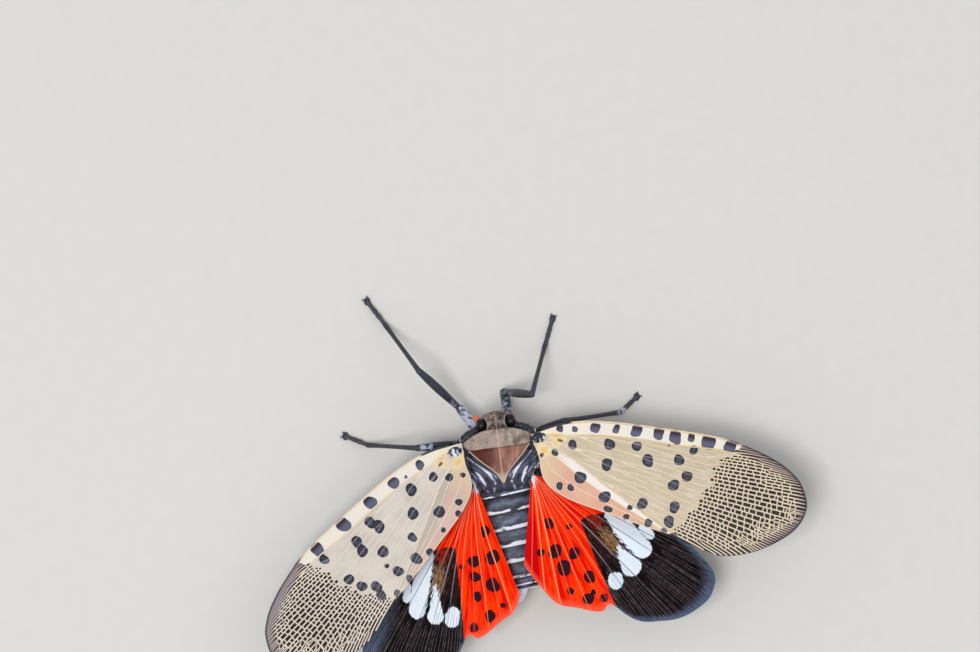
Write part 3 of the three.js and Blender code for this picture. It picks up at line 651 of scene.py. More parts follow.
# Hindwings. Broad fans of thin pleated membrane: scarlet with black spots next to the body, then a
# brown-black and a ragged white patch, and a black tip. Fine raised veins run out along the pleats.
HINDWINGS = {
    "left": {"side": 1, "hinge": (2.0, -1.28), "sweep": 28.5, "inner": 83.5, "curl": 9.0,
             "front": (10.5, 4.7)},
    "right": {"side": -1, "hinge": (-2.56, -2.08), "sweep": 0.0, "inner": 95.0, "curl": 3.0,
              "front": (99, -99)},
}
HINDWING_Z, HINDWING_ROOT, HINDWING_FRONT, PLEAT = 5.0, 0.2, 21.0, 0.09
MEMBRANE, VEIN_RISE, VEIN_END = 0.035, 0.042, 0.99
HIND_VEINS = {24: 0.3, 27.5: 0.3, 33: 0.3, 39: 0.4, 45: 0.6, 51: 0.4, 56: 0.55, 61.5: 0.25, 67: 0.6,
              72.5: 0.25, 77.5: 1.0, 83.6: 0.9, 90: 0.3}
HIND_STRIAE, STRIAE_FROM = 1.05, 0.2
hindwing_reach = graph((21, 11.2), (24.5, 14.1), (28, 16.4), (33, 17.3), (39.8, 17.1), (48.4, 15.8),
                       (56.4, 13.5), (57.8, 12.6), (63, 12.4), (71, 11.4), (79.6, 10.5), (86, 9.0), (95, 7.3))
RED_EDGE = ((2.6, 6.2), (3.1, 5.9), (3.4, 4.4), (3.8, 3.85), (5.12, 4.4), (6.72, 5.04), (8.4, 5.76),
            (10.64, 6.72), (13, 7.7))
WHITE_DROPS = {
    "right": (((6.0, 3.35, 0.22), (7.5, 4.55, 0.82)), ((7.5, 4.55, 0.82), (8.85, 6.0, 0.78)),
              ((7.0, 6.0, 0.2), (7.95, 7.4, 0.84)), ((6.72, 8.5, 0.6), (6.72, 8.7, 0.6)),
              ((9.0, 4.4, 0.45), (9.5, 4.95, 0.35))),
    "left": (((5.9, 3.4, 0.28), (7.6, 5.0, 0.72)), ((7.6, 5.0, 0.72), (8.95, 6.75, 0.66)),
             ((6.7, 5.7, 0.1), (7.85, 7.85, 0.66)), ((6.5, 8.35, 0.55), (6.85, 8.75, 0.6)),
             ((8.7, 4.7, 0.3), (9.2, 5.5, 0.36))),
}
OCHRE = ((6.35, 5.4), (0.66, 0.75), 1.5, 0.66)
BLUSH = ((5.0, 3.75), (0.62, 0.78), 1.2, 0.85)
HIND_SPOTS = {
    "right": ((1.34, 4.01, .41), (2.98, 4.25, .24), (.7, 6.34, .3), (1.85, 6.24, .52), (3.4, 6.38, .43),
              (2.58, 7.56, .56), (4.62, 8.29, .45), (3.1, 9.43, .27), (4.54, 10.02, .43),
              (5.77, 9.97, .34), (4.95, 9.52, .22)),
    "left": ((1.13, 3.74, .4), (1.59, 5.87, .55), (3.04, 5.46, .45), (3.58, 6.58, .4), (2.64, 7.84, .52),
             (4.16, 8.05, .35), (4.0, 9.9, .42), (5.6, 10.12, .36), (4.12, 5.38, .2), (2.69, 9.65, .2)),
}


def hindwing_at(wing, reach, angle, rise=0.0):
    """A place on a hindwing in plan, from how far out and at what angle it is, with its pleats."""
    count = np.interp(angle, list(HIND_VEINS), range(len(HIND_VEINS)))
    pleat = PLEAT * np.cos(np.pi * count) * unit(reach / 8)
    turn = np.radians(angle + wing["sweep"])
    return np.stack([wing["hinge"][0] + wing["side"] * reach * np.cos(turn),
                     wing["hinge"][1] + reach * np.sin(turn), HINDWING_Z + pleat + rise], -1)


def off_spots(a, b, spots, square=2.4):
    """How far a point lies outside the nearest spot, with a little unevenness in each outline."""
    nearest = np.full(a.shape, 9.0)
    for number, (x, y, radius, *flat) in enumerate(spots):
        tall = flat[0] if flat else radius * 1.08
        angle = np.arctan2(b - y, a - x)
        wobble = 1 + 0.08 * np.sin(2 * angle + number) + 0.05 * np.sin(3 * angle + 2 * number)
        size = (np.abs((a - x) / radius) ** square + np.abs((b - y) / tall) ** square) ** (1 / square)
        nearest = np.minimum(nearest, (size - wobble) * min(radius, tall))
    return nearest


def in_drop(p, q, start, end):
    """How deep a point lies in a drop that widens from its start to its end."""
    dx, dy = end[0] - start[0], end[1] - start[1]
    share = unit(((p - start[0]) * dx + (q - start[1]) * dy) / (dx * dx + dy * dy))
    return (start[2] + (end[2] - start[2]) * share
            - np.hypot(p - start[0] - share * dx, q - start[1] - share * dy))


def in_smudge(p, q, at, along, length, width):
    """1 in the middle of a long soft smudge, 0 at its rim."""
    x, y = p - at[0], q - at[1]
    return 1 - np.hypot((x * along[0] + y * along[1]) / length, (x * along[1] - y * along[0]) / width)


def hindwing_marks(name, reach, angle):
    """What the finishes read on a hindwing: distances to its zones, spots and margin."""
    p, q = reach * np.cos(np.radians(angle)), reach * np.sin(np.radians(angle))
    edge_q, edge_p = np.array(RED_EDGE).T
    front = HINDWINGS[name]["front"]
    inside = np.maximum(0.73 * (q - front[1]) - 0.68 * (p - front[0]), 0) * 1.05
    margin = hindwing_reach(angle) - reach
    return {"red": np.interp(q, edge_q, edge_p) - p, "spot": -off_spots(p, q, HIND_SPOTS[name]),
            "white": np.max([in_drop(p, q, *drop) for drop in WHITE_DROPS[name]], axis=0),
            "ochre": in_smudge(p, q, *OCHRE), "blush": in_smudge(p, q, *BLUSH),
            # Painted shade on the right hindwing's inner lobe beside the abdomen, past 84 degrees.
            "deep": unit((angle - 84) / 2) * unit(reach / 2 - 1),
            "apex": p * 0.62 + q * 0.78 - 9.2, "tip": 0.95 - reach - np.abs(angle - 80) / 50,
            # The second mark on the next line gives where the painted bluish-grey sheen lies along the outer
            # margin.
            "margin": margin, "slate": np.minimum(inside, margin * (0.7 + unit((angle - 28) / 20))),
            "fan": points_of(angle * 0.35, reach, 0)}


def ridges(lines, radii, sides):
    """Raised veins as closed tubes along many lines at once; lines is (how many, points, 3)."""
    count, length = lines.shape[:2]
    ahead = np.gradient(lines, axis=1)
    ahead /= np.maximum(np.linalg.norm(ahead, axis=-1, keepdims=True), 1e-9)
    side = np.cross(ahead, [0, 0, 1.0])
    side /= np.maximum(np.linalg.norm(side, axis=-1, keepdims=True), 1e-9)
    turn = full_turn(sides)[:, None]
    spoke = np.cos(turn) * side[:, :, None] + np.sin(turn) * np.cross(side, ahead)[:, :, None]
    radii = np.broadcast_to(radii, (count, length))[..., None, None]
    grid = np.arange(count * length * sides).reshape(count, length, sides)
    beside = np.roll(grid, -1, axis=2)
    walls = np.stack([grid[:, :-1], beside[:, :-1], beside[:, 1:], grid[:, 1:]], -1).reshape(-1, 4)
    ends = np.concatenate([grid[:, 0, ::-1], grid[:, -1]])
    return (lines[:, :, None] + radii * spoke).reshape(-1, 3), walls.tolist() + ends.tolist()


def wing_piece(name, finish, place, marks):
    """A wing's membrane; place gives its points at a height above the middle of the membrane."""
    both = {key: np.concatenate([value.reshape(-1, *value.shape[2:])] * 2) for key, value in marks.items()}
    return mesh_piece(name, finish, sheet(place(MEMBRANE), place(-MEMBRANE)), both)


def vein_piece(name, finish, lines, radii, marks, sides=6):
    """Raised veins as one piece; marks holds what the finish reads along each of them."""
    along = {key: np.repeat(np.concatenate([one[key] for one in marks]), sides) for key in finish.reads}
    return mesh_piece(name, finish, ridges(np.array(lines), np.array(radii), sides), along)


membrane = Finish("hindwing_membrane", Specular_IOR_Level=0.02, Roughness=0.5)
strands = membrane.noise(membrane.place("fan", (2.2, 0.7, 1)), 2.6, 6.0)
soft = membrane.noise(membrane.place("fan", (1, 0.25, 1)), 1.3, 3.0)
cloud = membrane.noise(membrane.place("fan", (1.2, 0.9, 1)), 0.9, 4.0)
fray = (strands - 0.5) * 1.3


def frayed(mark, strength, low, high):
    return (membrane.mark(mark) + fray * strength).above(low, high)


scarlet = soft.above(0.36, 0.62).mix((214, 6, 0), (250, 58, 3))
# Painted shade: the scarlet turns a darker red on the right hindwing's inner lobe beside the abdomen.
scarlet = membrane.mark("deep").mix(scarlet, (196, 2, 8))
scarlet = (membrane.mark("margin", 0.8, 0.0) * 0.6).mix(scarlet, (248, 104, 76))
pitch = strands.above(0.42, 0.66).mix((20, 11, 12), (66, 38, 34))
ochre = strands.above(0.36, 0.64).mix((80, 46, 26), (160, 122, 84))
pitch = frayed("ochre", 1.5, -0.1, 0.6).mix(pitch, ochre)
pitch = (frayed("blush", 2.4, 0.2, 0.9) * 0.7).mix(pitch, (172, 34, 14))
night = cloud.above(0.4, 0.7).mix((16, 11, 13), (38, 28, 30))
colour = frayed("apex", 1.0, -0.2, 0.4).mix(pitch, night)
in_red = frayed("red", 0.28, -0.05, 0.05)
colour = in_red.mix(colour, scarlet)
colour = frayed("spot", 0.06, -0.03, 0.02).mix(colour, strands.mix((16, 6, 12), (64, 30, 40)))
ragged = (membrane.mark("ochre", -1.2, 0.3) * 0.7 + 0.3) * fray
in_white = (membrane.mark("white") + ragged).above(-0.03, 0.05)
colour = in_white.mix(colour, cloud.mix((206, 218, 232), (232, 238, 244)))
colour = membrane.mark("tip", 0.0, 0.25).mix(colour, (226, 224, 232))
striae = membrane.step("TexWave", {"Vector": membrane.place("fan"), "Scale": 2.0, "Distortion": 0.5}, "Fac")
# Painted sheen: a bluish-grey band along the dark outer margin, streaked with fine lines from the wave
# texture.
slate = striae.above(0.15, 0.85).mix((36, 43, 60), (102, 117, 148))
at_margin = (membrane.mark("slate") + fray * 0.9).above(1.3, 0.1)
membrane.done((at_margin - in_red).mix(colour, slate), None, soft, 0.03)

vein = Finish("hindwing_vein", Roughness=0.45, Specular_IOR_Level=0.3)
strong = vein.mark("strong")
cool = vein.noise(vein.place(), 2.6, 3.0).above(0.36, 0.7).mix((46, 37, 39), (96, 87, 90))
cool = (strong * vein.mark("apex", 1.0, -0.6)).mix(cool, (150, 134, 140))
chalk = vein.noise(vein.place(), 3.0).mix((96, 104, 112), (196, 206, 216))
cool = vein.mark("white", -0.03, 0.08).mix(cool, chalk)
colour = vein.mark("red", -0.1, 0.1).mix(cool, strong.mix((230, 30, 4), (255, 128, 74)))
vein.done(vein.mark("tip", -0.6, 0.2).mix(colour, (232, 226, 230)))

draw = np.random.default_rng(8)
share, trial = np.linspace(0, 1, 90), np.linspace(0, 1, 60)
for name, wing in HINDWINGS.items():
    angle, part = np.meshgrid(np.linspace(HINDWING_FRONT, wing["inner"], 260),
                              np.linspace(0, 1, 170) ** 0.8)
    reach = HINDWING_ROOT + (hindwing_reach(angle) - HINDWING_ROOT) * part
    marks = hindwing_marks(name, reach, angle)
    pieces = [wing_piece(f"hindwing_{name}_membrane", membrane,
                         lambda rise: hindwing_at(wing, reach, angle, rise), marks)]

    stems = [(angle, 0.0 if strength > 0.3 else 0.1, 0.045 + 0.04 * strength, strength)
             for angle, strength in HIND_VEINS.items() if angle < wing["inner"] - 1]
    for angle in np.arange(HINDWING_FRONT + 0.8, 61, HIND_STRIAE):
        found = hindwing_marks(name, trial * hindwing_reach(angle), 0 * trial + angle)
        begin = trial[np.argmax((found["apex"] > STRIAE_FROM) & (found["white"] < -0.1))]
        begin += draw.uniform(0, 0.12) * draw.uniform(0, 1)
        stems.append((angle + draw.uniform(-0.3, 0.3), begin, 0.03, 0.0))
    lines, radii, marks = [], [], []
    for end, begin, radius, strength in stems:
        part = begin + (VEIN_END - begin) * share
        angle = end - wing["curl"] * (1 - part) ** 2 * unit((end - 40) / 12)
        reach = HINDWING_ROOT + (hindwing_reach(angle) - HINDWING_ROOT) * part
        found = hindwing_marks(name, reach, angle)
        wide = 1 - 0.35 * part - 0.3 * unit(found["apex"] / 2)
        lines.append(hindwing_at(wing, reach, angle, VEIN_RISE))
        radii.append(np.maximum(radius * wide * unit(0.3 + reach / 3), 0.02))
        marks.append(found | {"strong": np.full(share.shape, strength)})
    pieces.append(vein_piece(f"hindwing_{name}_veins", vein, lines, radii, marks))
    for made in pieces:
        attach(made, "root")
        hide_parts(f"hindwing_{name}")

# Forewings. Leathery tan membrane with dark round spots; its outer third is dark between the rows
# of the net. They lie over the hindwings and hinge at the chest.
FOREWINGS = {
    # shade is 1 on the left wing. There it gives a greyer, partly darker copy of the colours and a lilac-grey
    # band by the outer front edge: painted shading for that wing's tilt to the light. It also makes the left
    # wing's front spots rounder and starts its net earlier.
    "left": {"side": 1, "hinge": (3.44, -4.08), "sweep": 49.0, "twist": 19.0, "narrow": 0.87, "shade": 1.0},
    "right": {"side": -1, "hinge": (-3.04, -5.04), "sweep": 15.0, "twist": 5.0, "narrow": 1.0, "shade": 0.0},
}
FOREWING_Z, FOREWING_RISE, FOREWING_CAMBER, ROOT_REACH, CLAVAL_END = 6.1, 0.03, 0.35, 0.6, 0.74
YOLKS = ((1.5, -0.42, 0.62, 0.3), (0.75, 0.85, 0.5, 0.42), (1.5, 0.12, 0.3, 0.3))
BRUISE = ((1.78, -0.2), (1, 0), 0.34, 0.15)
SPOTS = {
    "right": (
        (1.5, -1.12, .27), (2.68, -1.36, .22), (4.22, -1.89, .37), (5.87, -2.24, .25, .37),
        (7.47, -2.54, .44), (9.23, -2.78, .43), (10.59, -2.84, .48), (11.84, -3.14, .26, .38),
        (13.26, -3.1, .52), (15.02, -3.26, .46), (2.81, -.14, .34), (5.65, -.93, .42), (7.8, -1.35, .37),
        (10.28, -2.1, .1), (12.27, -2.22, .33), (5.86, .68, .43), (8.94, -.47, .45), (11.34, -1.16, .4),
        (12.28, -.06, .4), (11.43, .89, .42), (9.4, 2.96, .41), (11.94, 2.57, .41), (11.82, 3.8, .42),
        (1.61, .83, .27), (4.08, 2.23, .45), (6.36, 3.22, .44), (8.52, 3.51, .22), (10.26, 4.34, .31),
        (2.66, 3.31, .27), (3.55, 3.2, .26), (6.87, 4.1, .34, .24), (8.44, 4.31, .23), (.66, 1.3, .16),
        (11.62, 4.66, .27), (12.52, 4.84, .28)),
    "left": (
        (2.92, -1.41, .35), (4.37, -1.62, .13), (5.38, -2.03, .43), (4.84, -.64, .44), (2.92, .03, .34),
        (2.1, 1.0, .3), (1.24, 1.7, .2), (7.79, -2.43, .48), (10.55, -2.91, .55), (13.41, -3.17, .51),
        (13.64, -2.22, .36), (8.98, -1.39, .42), (8.75, -.67, .46), (6.17, .71, .43), (4.67, 2.21, .43),
        (3.06, 2.87, .26), (3.75, 3.47, .26), (7.61, 1.91, .34), (10.84, -1.17, .42), (11.08, -.38, .43),
        (10.02, .92, .42), (10.66, 1.87, .18), (10.37, 2.83, .39), (8.66, 3.26, .42), (7.57, 3.79, .31),
        (10.2, 3.88, .27), (5.53, 3.39, .19), (13.47, .32, .38), (13.19, 1.44, .38), (12.44, 2.32, .4),
        (12.69, 3.07, .38), (11.73, 3.97, .3)),
}


def edge(*points):
    """A smooth line through points in plan, read by its length from 0 to 1."""
    corner = np.array(points, float)
    padded = np.vstack([corner[:1], corner, corner[-1:]])
    u = np.linspace(0, 1, 24, endpoint=False)[:, None]
    fine = []
    for before, here, there, after in zip(padded, padded[1:], padded[2:], padded[3:]):
        leave, arrive = (there - before) / 2, (after - here) / 2
        fine.append((2 * u**3 - 3 * u**2 + 1) * here + (u**3 - 2 * u**2 + u) * leave
                    + (3 * u**2 - 2 * u**3) * there + (u**3 - u**2) * arrive)
    fine = np.vstack([*fine, corner[-1:]])
    run = np.append(0, np.cumsum(np.linalg.norm(np.diff(fine, axis=0), axis=1)))
    return lambda at: np.stack([np.interp(unit(at) * run[-1], run, line) for line in fine.T], -1)


leading_edge = edge((0, -0.6), (2, -1.75), (5, -2.62), (9.3, -3.25), (14.2, -3.73), (17.4, -3.44),
                    (19.3, -2.98))
outer_edge = edge((19.3, -2.98), (20.35, -2.5), (21.4, -1.65), (22.16, 0), (21.6, 1.95), (19.6, 3.95),
                  (17.7, 5.0), (16.3, 5.4))
claval_line = edge((0.3, 0.6), (12.1, 4.75))
trailing_tip = edge((12.1, 4.75), (14.4, 5.2), (16.3, 5.4))
clavus_edge = edge((0.45, 1.3), (1.4, 3.2), (3.4, 4.08), (6.6, 4.4), (9.4, 4.6), (12.1, 4.75))
costal_vein = graph((0.1, -0.15), (1.0, -0.45), (2.38, -0.76), (4.31, -1.31), (6.32, -1.68), (8, -1.94),
                    (10, -2.14), (11.24, -2.28), (12.74, -2.56), (14.28, -2.76), (16.5, -2.8))
strip_front = graph((0.2, 0.3), (2.2, 0.72), (3.9, 1.3), (5.75, 2.17), (7.35, 2.8), (9.4, 3.62), (12.1, 4.62))
strip_back = graph((0.2, 0.62), (1.4, 1.02), (2.8, 1.6), (3.8, 2.08), (5.13, 2.6), (7.18, 3.3), (12.1, 4.75))


def forewing_plan(s, t):
    """A place in the wing's own plane: s along it, t from its front edge to the claval line at 1
    and on to the hind edge at 2."""
    s, t = np.broadcast_arrays(np.asarray(s, float), np.asarray(t, float))
    inner = (s < CLAVAL_END)[..., None]
    beyond = (s - CLAVAL_END) / (1 - CLAVAL_END)
    claval_side = np.where(inner, claval_line(s / CLAVAL_END), trailing_tip(beyond))
    hind = np.where(inner, clavus_edge(s / CLAVAL_END), claval_side)
    v, behind = unit(t)[..., None], unit(t - 1)[..., None]
    across = leading_edge(s) * (1 - v) + claval_side * v
    chord = outer_edge(0) * (1 - v) + outer_edge(1) * v
    main = across + (outer_edge(t) - chord) * s[..., None]
    places = np.where((t > 1)[..., None], claval_side * (1 - behind) + hind * behind, main)
    return np.moveaxis(places, -1, 0)


def forewing_at(wing, a, b, rise=0.0):
    """A place on a forewing in plan, from its own plane, with its arch and twist."""
    b = np.where(b > 0, b * wing["narrow"], b)
    arch = FOREWING_CAMBER * (1 - ((b - 0.5) / 4.5) ** 2) * np.clip(a / 4, -1, 1)
    z = FOREWING_Z + FOREWING_RISE * a + arch + b * math.tan(math.radians(wing["twist"])) + rise
    turn = math.radians(wing["sweep"])
    return np.stack([wing["hinge"][0] + wing["side"] * (a * math.cos(turn) - b * math.sin(turn)),
                     wing["hinge"][1] + a * math.sin(turn) + b * math.cos(turn), z], -1)


def off_line(a, b, line):
    """The distance to a line given by many points."""
    return np.min([np.hypot(a - x, b - y) for x, y in line], axis=0)


ROWS, NET_UNEVEN, NET_EARLY = (-3.6, 5.2), 0.2, 0.8
net_start = graph((-3.6, 15.9), (-2.9, 15.5), (-1.7, 14.4), (-0.7, 14.2), (0, 14.3), (1, 13.9), (2, 13.7),
                  (3, 13.2), (4.1, 12.6), (5.2, 12.0))
row_step = graph((-3.6, 0.235), (-2.6, 0.25), (-1, 0.29), (2.2, 0.3), (3.4, 0.25), (5.3, 0.22))
row_slant = graph((-3.6, -12), (-2.7, -11), (-1.5, -6), (0, -2.5), (1, -0.5), (2.3, 3), (3.8, 6), (5.2, 12))
row_bend = graph((-3.6, 0.04), (-2.7, 0.036), (-1.8, 0.01), (0, 0), (1.5, 0.004), (2.3, 0.008),
                 (3.3, 0.024), (4, 0.028), (5.2, 0.015))
row_bases = [ROWS[0]]
while row_bases[-1] < ROWS[1] - 0.1:
    row_bases.append(row_bases[-1] + float(row_step(row_bases[-1])))
uneven = np.random.default_rng(21).uniform(-NET_UNEVEN, NET_UNEVEN, len(row_bases) + 1)


def row_path(base, a):
    """Where the row of the net that starts at this height runs, further out along the wing."""
    run = a - net_start(base)
    return base + np.tan(np.radians(row_slant(base))) * run + row_bend(base) * run * np.abs(run)


def row_of(a, b):
    """The starting height of the row on which a point lies."""
    base = b + 0.0
    for _ in range(12):
        base = np.clip(0.5 * base + 0.5 * (base + b - row_path(base, a)), *ROWS)
    return base


def row_begins(base, wing):
    """Where the net begins in a row, each a little earlier or later than its neighbours."""
    return (net_start(base) + uneven[np.searchsorted(row_bases, base)]
            - NET_EARLY * wing["shade"] * unit(-1.8 - base))


outer_line = np.vstack([leading_edge(np.linspace(0.78, 1, 30)), outer_edge(np.linspace(0, 1, 120)),
                        trailing_tip(np.linspace(0.55, 1, 14))])
front_line = leading_edge(np.linspace(0, 0.9, 120))


def forewing_marks(name, a, b):
    """What the finishes read on a forewing: depths in its spots and distances to its edges. The
    spots along the front edge are squarer than the others."""
    wing = FOREWINGS[name]
    shaded, rim, margin = wing["shade"], off_line(a, b, front_line), off_line(a, b, outer_line)
    narrow = np.where(b > 0, b * wing["narrow"], b)
    front = [spot for spot in SPOTS[name] if spot[1] < costal_vein(spot[0])]
    rest = [spot for spot in SPOTS[name] if spot not in front]
    spots = np.minimum(off_spots(a, narrow, front, 3.4 - shaded), off_spots(a, narrow, rest))
    return {"spot": -spots, "margin": margin, "rim": rim, "shade": np.full(a.shape, shaded),
            # fold: the left wing's painted lilac-grey band along its outer front edge.
            "fold": (1.15 - margin) * unit((1.2 - b) / 2) * unit((a - 14.5) / 2) * shaded,
            # The mark on the next line darkens the front edge of the wing near its root.
            "soot": unit((0.16 - rim) * 12) * unit((2.3 - a) * 3)}


tegmen = Finish("forewing_membrane", Specular_IOR_Level=0.3, Roughness=0.55)
fibre = tegmen.noise(tegmen.place("plane", (0.12, 1, 1)), 6.0, 5.0)
blotch = tegmen.noise(tegmen.place("plane"), 0.45, 3.0)
# Painted shading: on the left wing, where shade is 1, the tan, peach, strip and rim colours below give way to
# greyer and partly darker copies.
shaded = tegmen.mark("shade")
tan = fibre.above(0.3, 0.7).mix((186, 170, 147), (205, 191, 168))
tan = (blotch.above(0.35, 0.65) * 0.4).mix(tan, (180, 163, 130))
tan = (shaded * 0.85).mix(tan, blotch.above(0.35, 0.65).mix((190, 183, 174), (206, 200, 192)))
peach = shaded.mix(blotch.mix((200, 144, 121), (219, 173, 148)),
                   blotch.mix((188, 156, 146), (210, 180, 166)))
tan = tegmen.mark("clavus", -0.04, 0.08).mix(tan, peach)
tan = tegmen.mark("strip", -0.05, 0.06).mix(tan, shaded.mix((226, 217, 212), (180, 167, 153)))
tan = tegmen.mark("straw").mix(tan, (208, 186, 150))
cream = blotch.above(0.4, 0.62).mix((223, 215, 209), (226, 217, 198))
tan = tegmen.mark("band", 0.0, 0.08).mix(tan, cream)
yolk = tegmen.mark("yolk", 0.0, 1.0).mix((226, 206, 158), (222, 168, 62))
tan = tegmen.mark("yolk", -0.9, 0.5).mix(tan, yolk)
tan = tegmen.mark("bruise", 0.0, 0.6).mix(tan, (98, 62, 38))
tan = (tegmen.mark("spot", -0.14, -0.05) * 0.08).mix(tan, (236, 228, 222))
spot = tegmen.mark("spot", 0.04, 0.3).mix((30, 27, 38), (70, 72, 92))
mottle = tegmen.noise(tegmen.place("plane", (0.5, 1, 1)), 5.0, 4.0)
spot = mottle.above(0.4, 0.66).mix(spot, (36, 36, 50))
front_spot = tegmen.mark("rim", 0.25, 0.7).mix((44, 32, 50), (86, 88, 110))
spot = tegmen.mark("band", 0.0, 0.2).mix(spot, front_spot)
tan = tegmen.mark("spot", -0.03, 0.02).mix(tan, spot)
cell = tegmen.mark("rim", 0.5, 0.1).mix(fibre.mix((20, 13, 11), (42, 28, 21)), (118, 90, 78))
tan = tegmen.mark("net", -0.02, 0.04).mix(tan, cell)
# Painted shading: a lilac-grey band along the left wing's outer front edge.
tan = (tegmen.mark("fold", 0.15, 0.9) * shaded * 0.85).mix(tan, (132, 122, 128))
tan = tegmen.mark("margin", 0.22, 0.04).mix(tan, (40, 36, 46))
amber = tegmen.mark("rim", 0.18, 0.1) * tegmen.mark("net", 0.4, -0.6)
tan = amber.mix(tan, shaded.mix((200, 176, 144), (222, 204, 172)))
tegmen.done(tegmen.mark("soot", 0.0, 0.5).mix(tan, (40, 40, 54)), None, fibre, 0.025)

for name, wing in FOREWINGS.items():
    s, t = np.meshgrid(np.linspace(0, 1, 250), np.concatenate(
        [np.linspace(0, 1, 183), np.linspace(1, 2, 34)[1:]]), indexing="ij")
    a, b = forewing_plan(s, t)
    root = unit(1 - s / 0.04)
    a, b = a - ROOT_REACH * root, b + (0.3 - b) * root * 0.6
    back = strip_back(a) + 0.35 * wing["shade"] * np.sin(np.pi * unit(a / 12))
    marks = forewing_marks(name, a, b) | {
        "band": costal_vein(a) - b, "strip": np.minimum(b - strip_front(a), back - b),
        "clavus": b - back, "net": a - row_begins(row_of(a, b), wing),
        "yolk": np.max([in_smudge(a, b, (x, y), (1, 0), w, h) for x, y, w, h in YOLKS], axis=0),
        "bruise": in_smudge(a, b, *BRUISE), "plane": points_of(a, b, 0),
        "straw": unit((3.0 - a) / 2) * unit((b - strip_front(a)) * 3) * 0.85}
    made = wing_piece(f"forewing_{name}_membrane", tegmen,
                      lambda rise: forewing_at(wing, a, b, rise), marks)
    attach(made, "root")
    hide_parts(f"forewing_{name}")

# Forewing veins and net. Pale horny veins raised from the membrane: three stems fork twice on their
# way out and single ones run along the edges. Rows of finer strands, with short bars between them,
# go on from their ends to the margin and fork where they spread.
STEMS = ((3, 0.03, 0.16, 0.06), (6, 0.14, 0.36, 0.05), (13, 0.33, 0.6, 0.042))
SINGLE_VEINS = ((1.5, CLAVAL_END - 0.02, 0.045, 0.0), (1.985, CLAVAL_END - 0.02, 0.045, 0.0),
                (0.006, 0.8, 0.06, 0.35))
CURVED_VEINS = ((costal_vein, 0.0, 0.6, 0.76, 0.06, 1.0), (strip_front, 0.5, 1.1, 0.72, 0.06, 0.0),
                (strip_back, 0.7, 1.4, 0.72, 0.04, 0.0))
STEM_UNEVEN, STEM_LAP, STEM_ROOTS = 0.02, 0.02, (0.45, 0.2)
NET_LINE, NET_FINE, NET_OPEN, LEAD_IN, STATION = 0.058, 0.03, 0.7, 0.3, 0.04
FORK_LENGTH, FORKS, LATE_FORKS, NET_WIDEST, NET_LATE = 0.6, (0.9, 3.4), (0.9, 2.2), 0.42, 0.34
BAR_RADIUS, BAR_SIDES = NET_LINE * 0.9, 4
BAR_GAPS, BAR_SLANT, BAR_STEPS, BAR_SPREAD = (0.15, 0.6), (-0.05, 0.03), (0.3, 0.16), (0.65, 1.6)
WING_TIP, NET_ROOM = 0.36, 0.03
stations = np.arange(11.0, 22.3, STATION)
front_edge = np.vstack([leading_edge(np.linspace(0, 1, 80)), outer_edge(np.linspace(0, WING_TIP, 60))])
back_edge = np.vstack([clavus_edge(np.linspace(0, 1, 60)), trailing_tip(np.linspace(0, 1, 20)),
                       outer_edge(np.linspace(1, WING_TIP, 80))])
front_at = np.interp(stations, *front_edge.T) + NET_ROOM
back_at = np.interp(stations, *back_edge[np.argsort(back_edge[:, 0])].T) - NET_ROOM


def branch(count, number):
    """Where across the wing one of so many branches ends."""
    return 0.2 + 0.76 * (number + 0.5) / count


def thread_marks(name, a, b, gold=0.0):
    """What the finish reads along a vein: also whether it is golden."""
    # The left wing's weaker gold is part of its painted shading.
    golden = gold * (1 - 0.6 * FOREWINGS[name]["shade"])
    return forewing_marks(name, a, b) | {"gold": np.full(a.shape, golden),
                                         "plain": np.full(a.shape, 0.85 * (1 - gold))}


def ended(path):
    """A strand of the net from its beginning as far as the wing's edge."""
    outside = (path < front_at) | (path > back_at)
    return np.where(np.cumsum(outside) > 0, np.nan, path)


def eased(part):
    """A part from 0 to 1 that starts and stops gently."""
    return unit(part) ** 2 * (3 - 2 * unit(part))


def forked(parent, goal, fork):
    """A strand that leaves its parent at a fork and runs over to its goal."""
    return parent + (goal - parent) * eased((stations - fork) / FORK_LENGTH)


def net_strands(wing, draw):
    """The net's strands as heights over the stations: every third row forks, and so do others
    where the gap between two of them grows wide."""
    strands = []
    for row, base in enumerate(row_bases):
        begins = float(row_begins(base, wing))
        path = np.where(stations >= begins, row_path(base, stations), np.nan)
        length = np.isfinite(ended(path)).sum() * STATION
        if length < 0.3:
            continue
        if row % 3 == 1 or not strands:
            fork = max(begins + length - draw.uniform(*FORKS), begins + 0.3)
        beside = row_path(base + row_step(base), stations) - path
        strands.append(forked(path, path + (0.0, -0.25, 0.25)[row % 3] * beside, fork))
        if row % 3 == 1:
            strands.append(np.where(stations >= fork, forked(path, path + 0.5 * beside, fork), np.nan))
    for gap, late in ((NET_WIDEST, (9.0, 9.0)), (NET_LATE, LATE_FORKS)):
        for lower, upper in list(zip(strands, strands[1:])):
            kept = np.isfinite(ended(lower) + ended(upper))
            stops = stations[kept][-1] if kept.any() else 0
            close = stations > stops - draw.uniform(*late)
            wide = np.nonzero((upper - lower > gap * draw.uniform(0.95, 1.1)) & kept & close)[0]
            if len(wide) and stations[wide[0]] < stops - 0.5:
                fork = stations[wide[0]]
                extra = forked(draw.choice([lower, upper]), (lower + upper) / 2, fork)
                number = next(k for k, strand in enumerate(strands) if strand is upper)
                strands.insert(number, np.where(stations >= fork, extra, np.nan))
    return np.array([strand for strand in map(ended, strands) if np.isfinite(strand).sum() > 6])


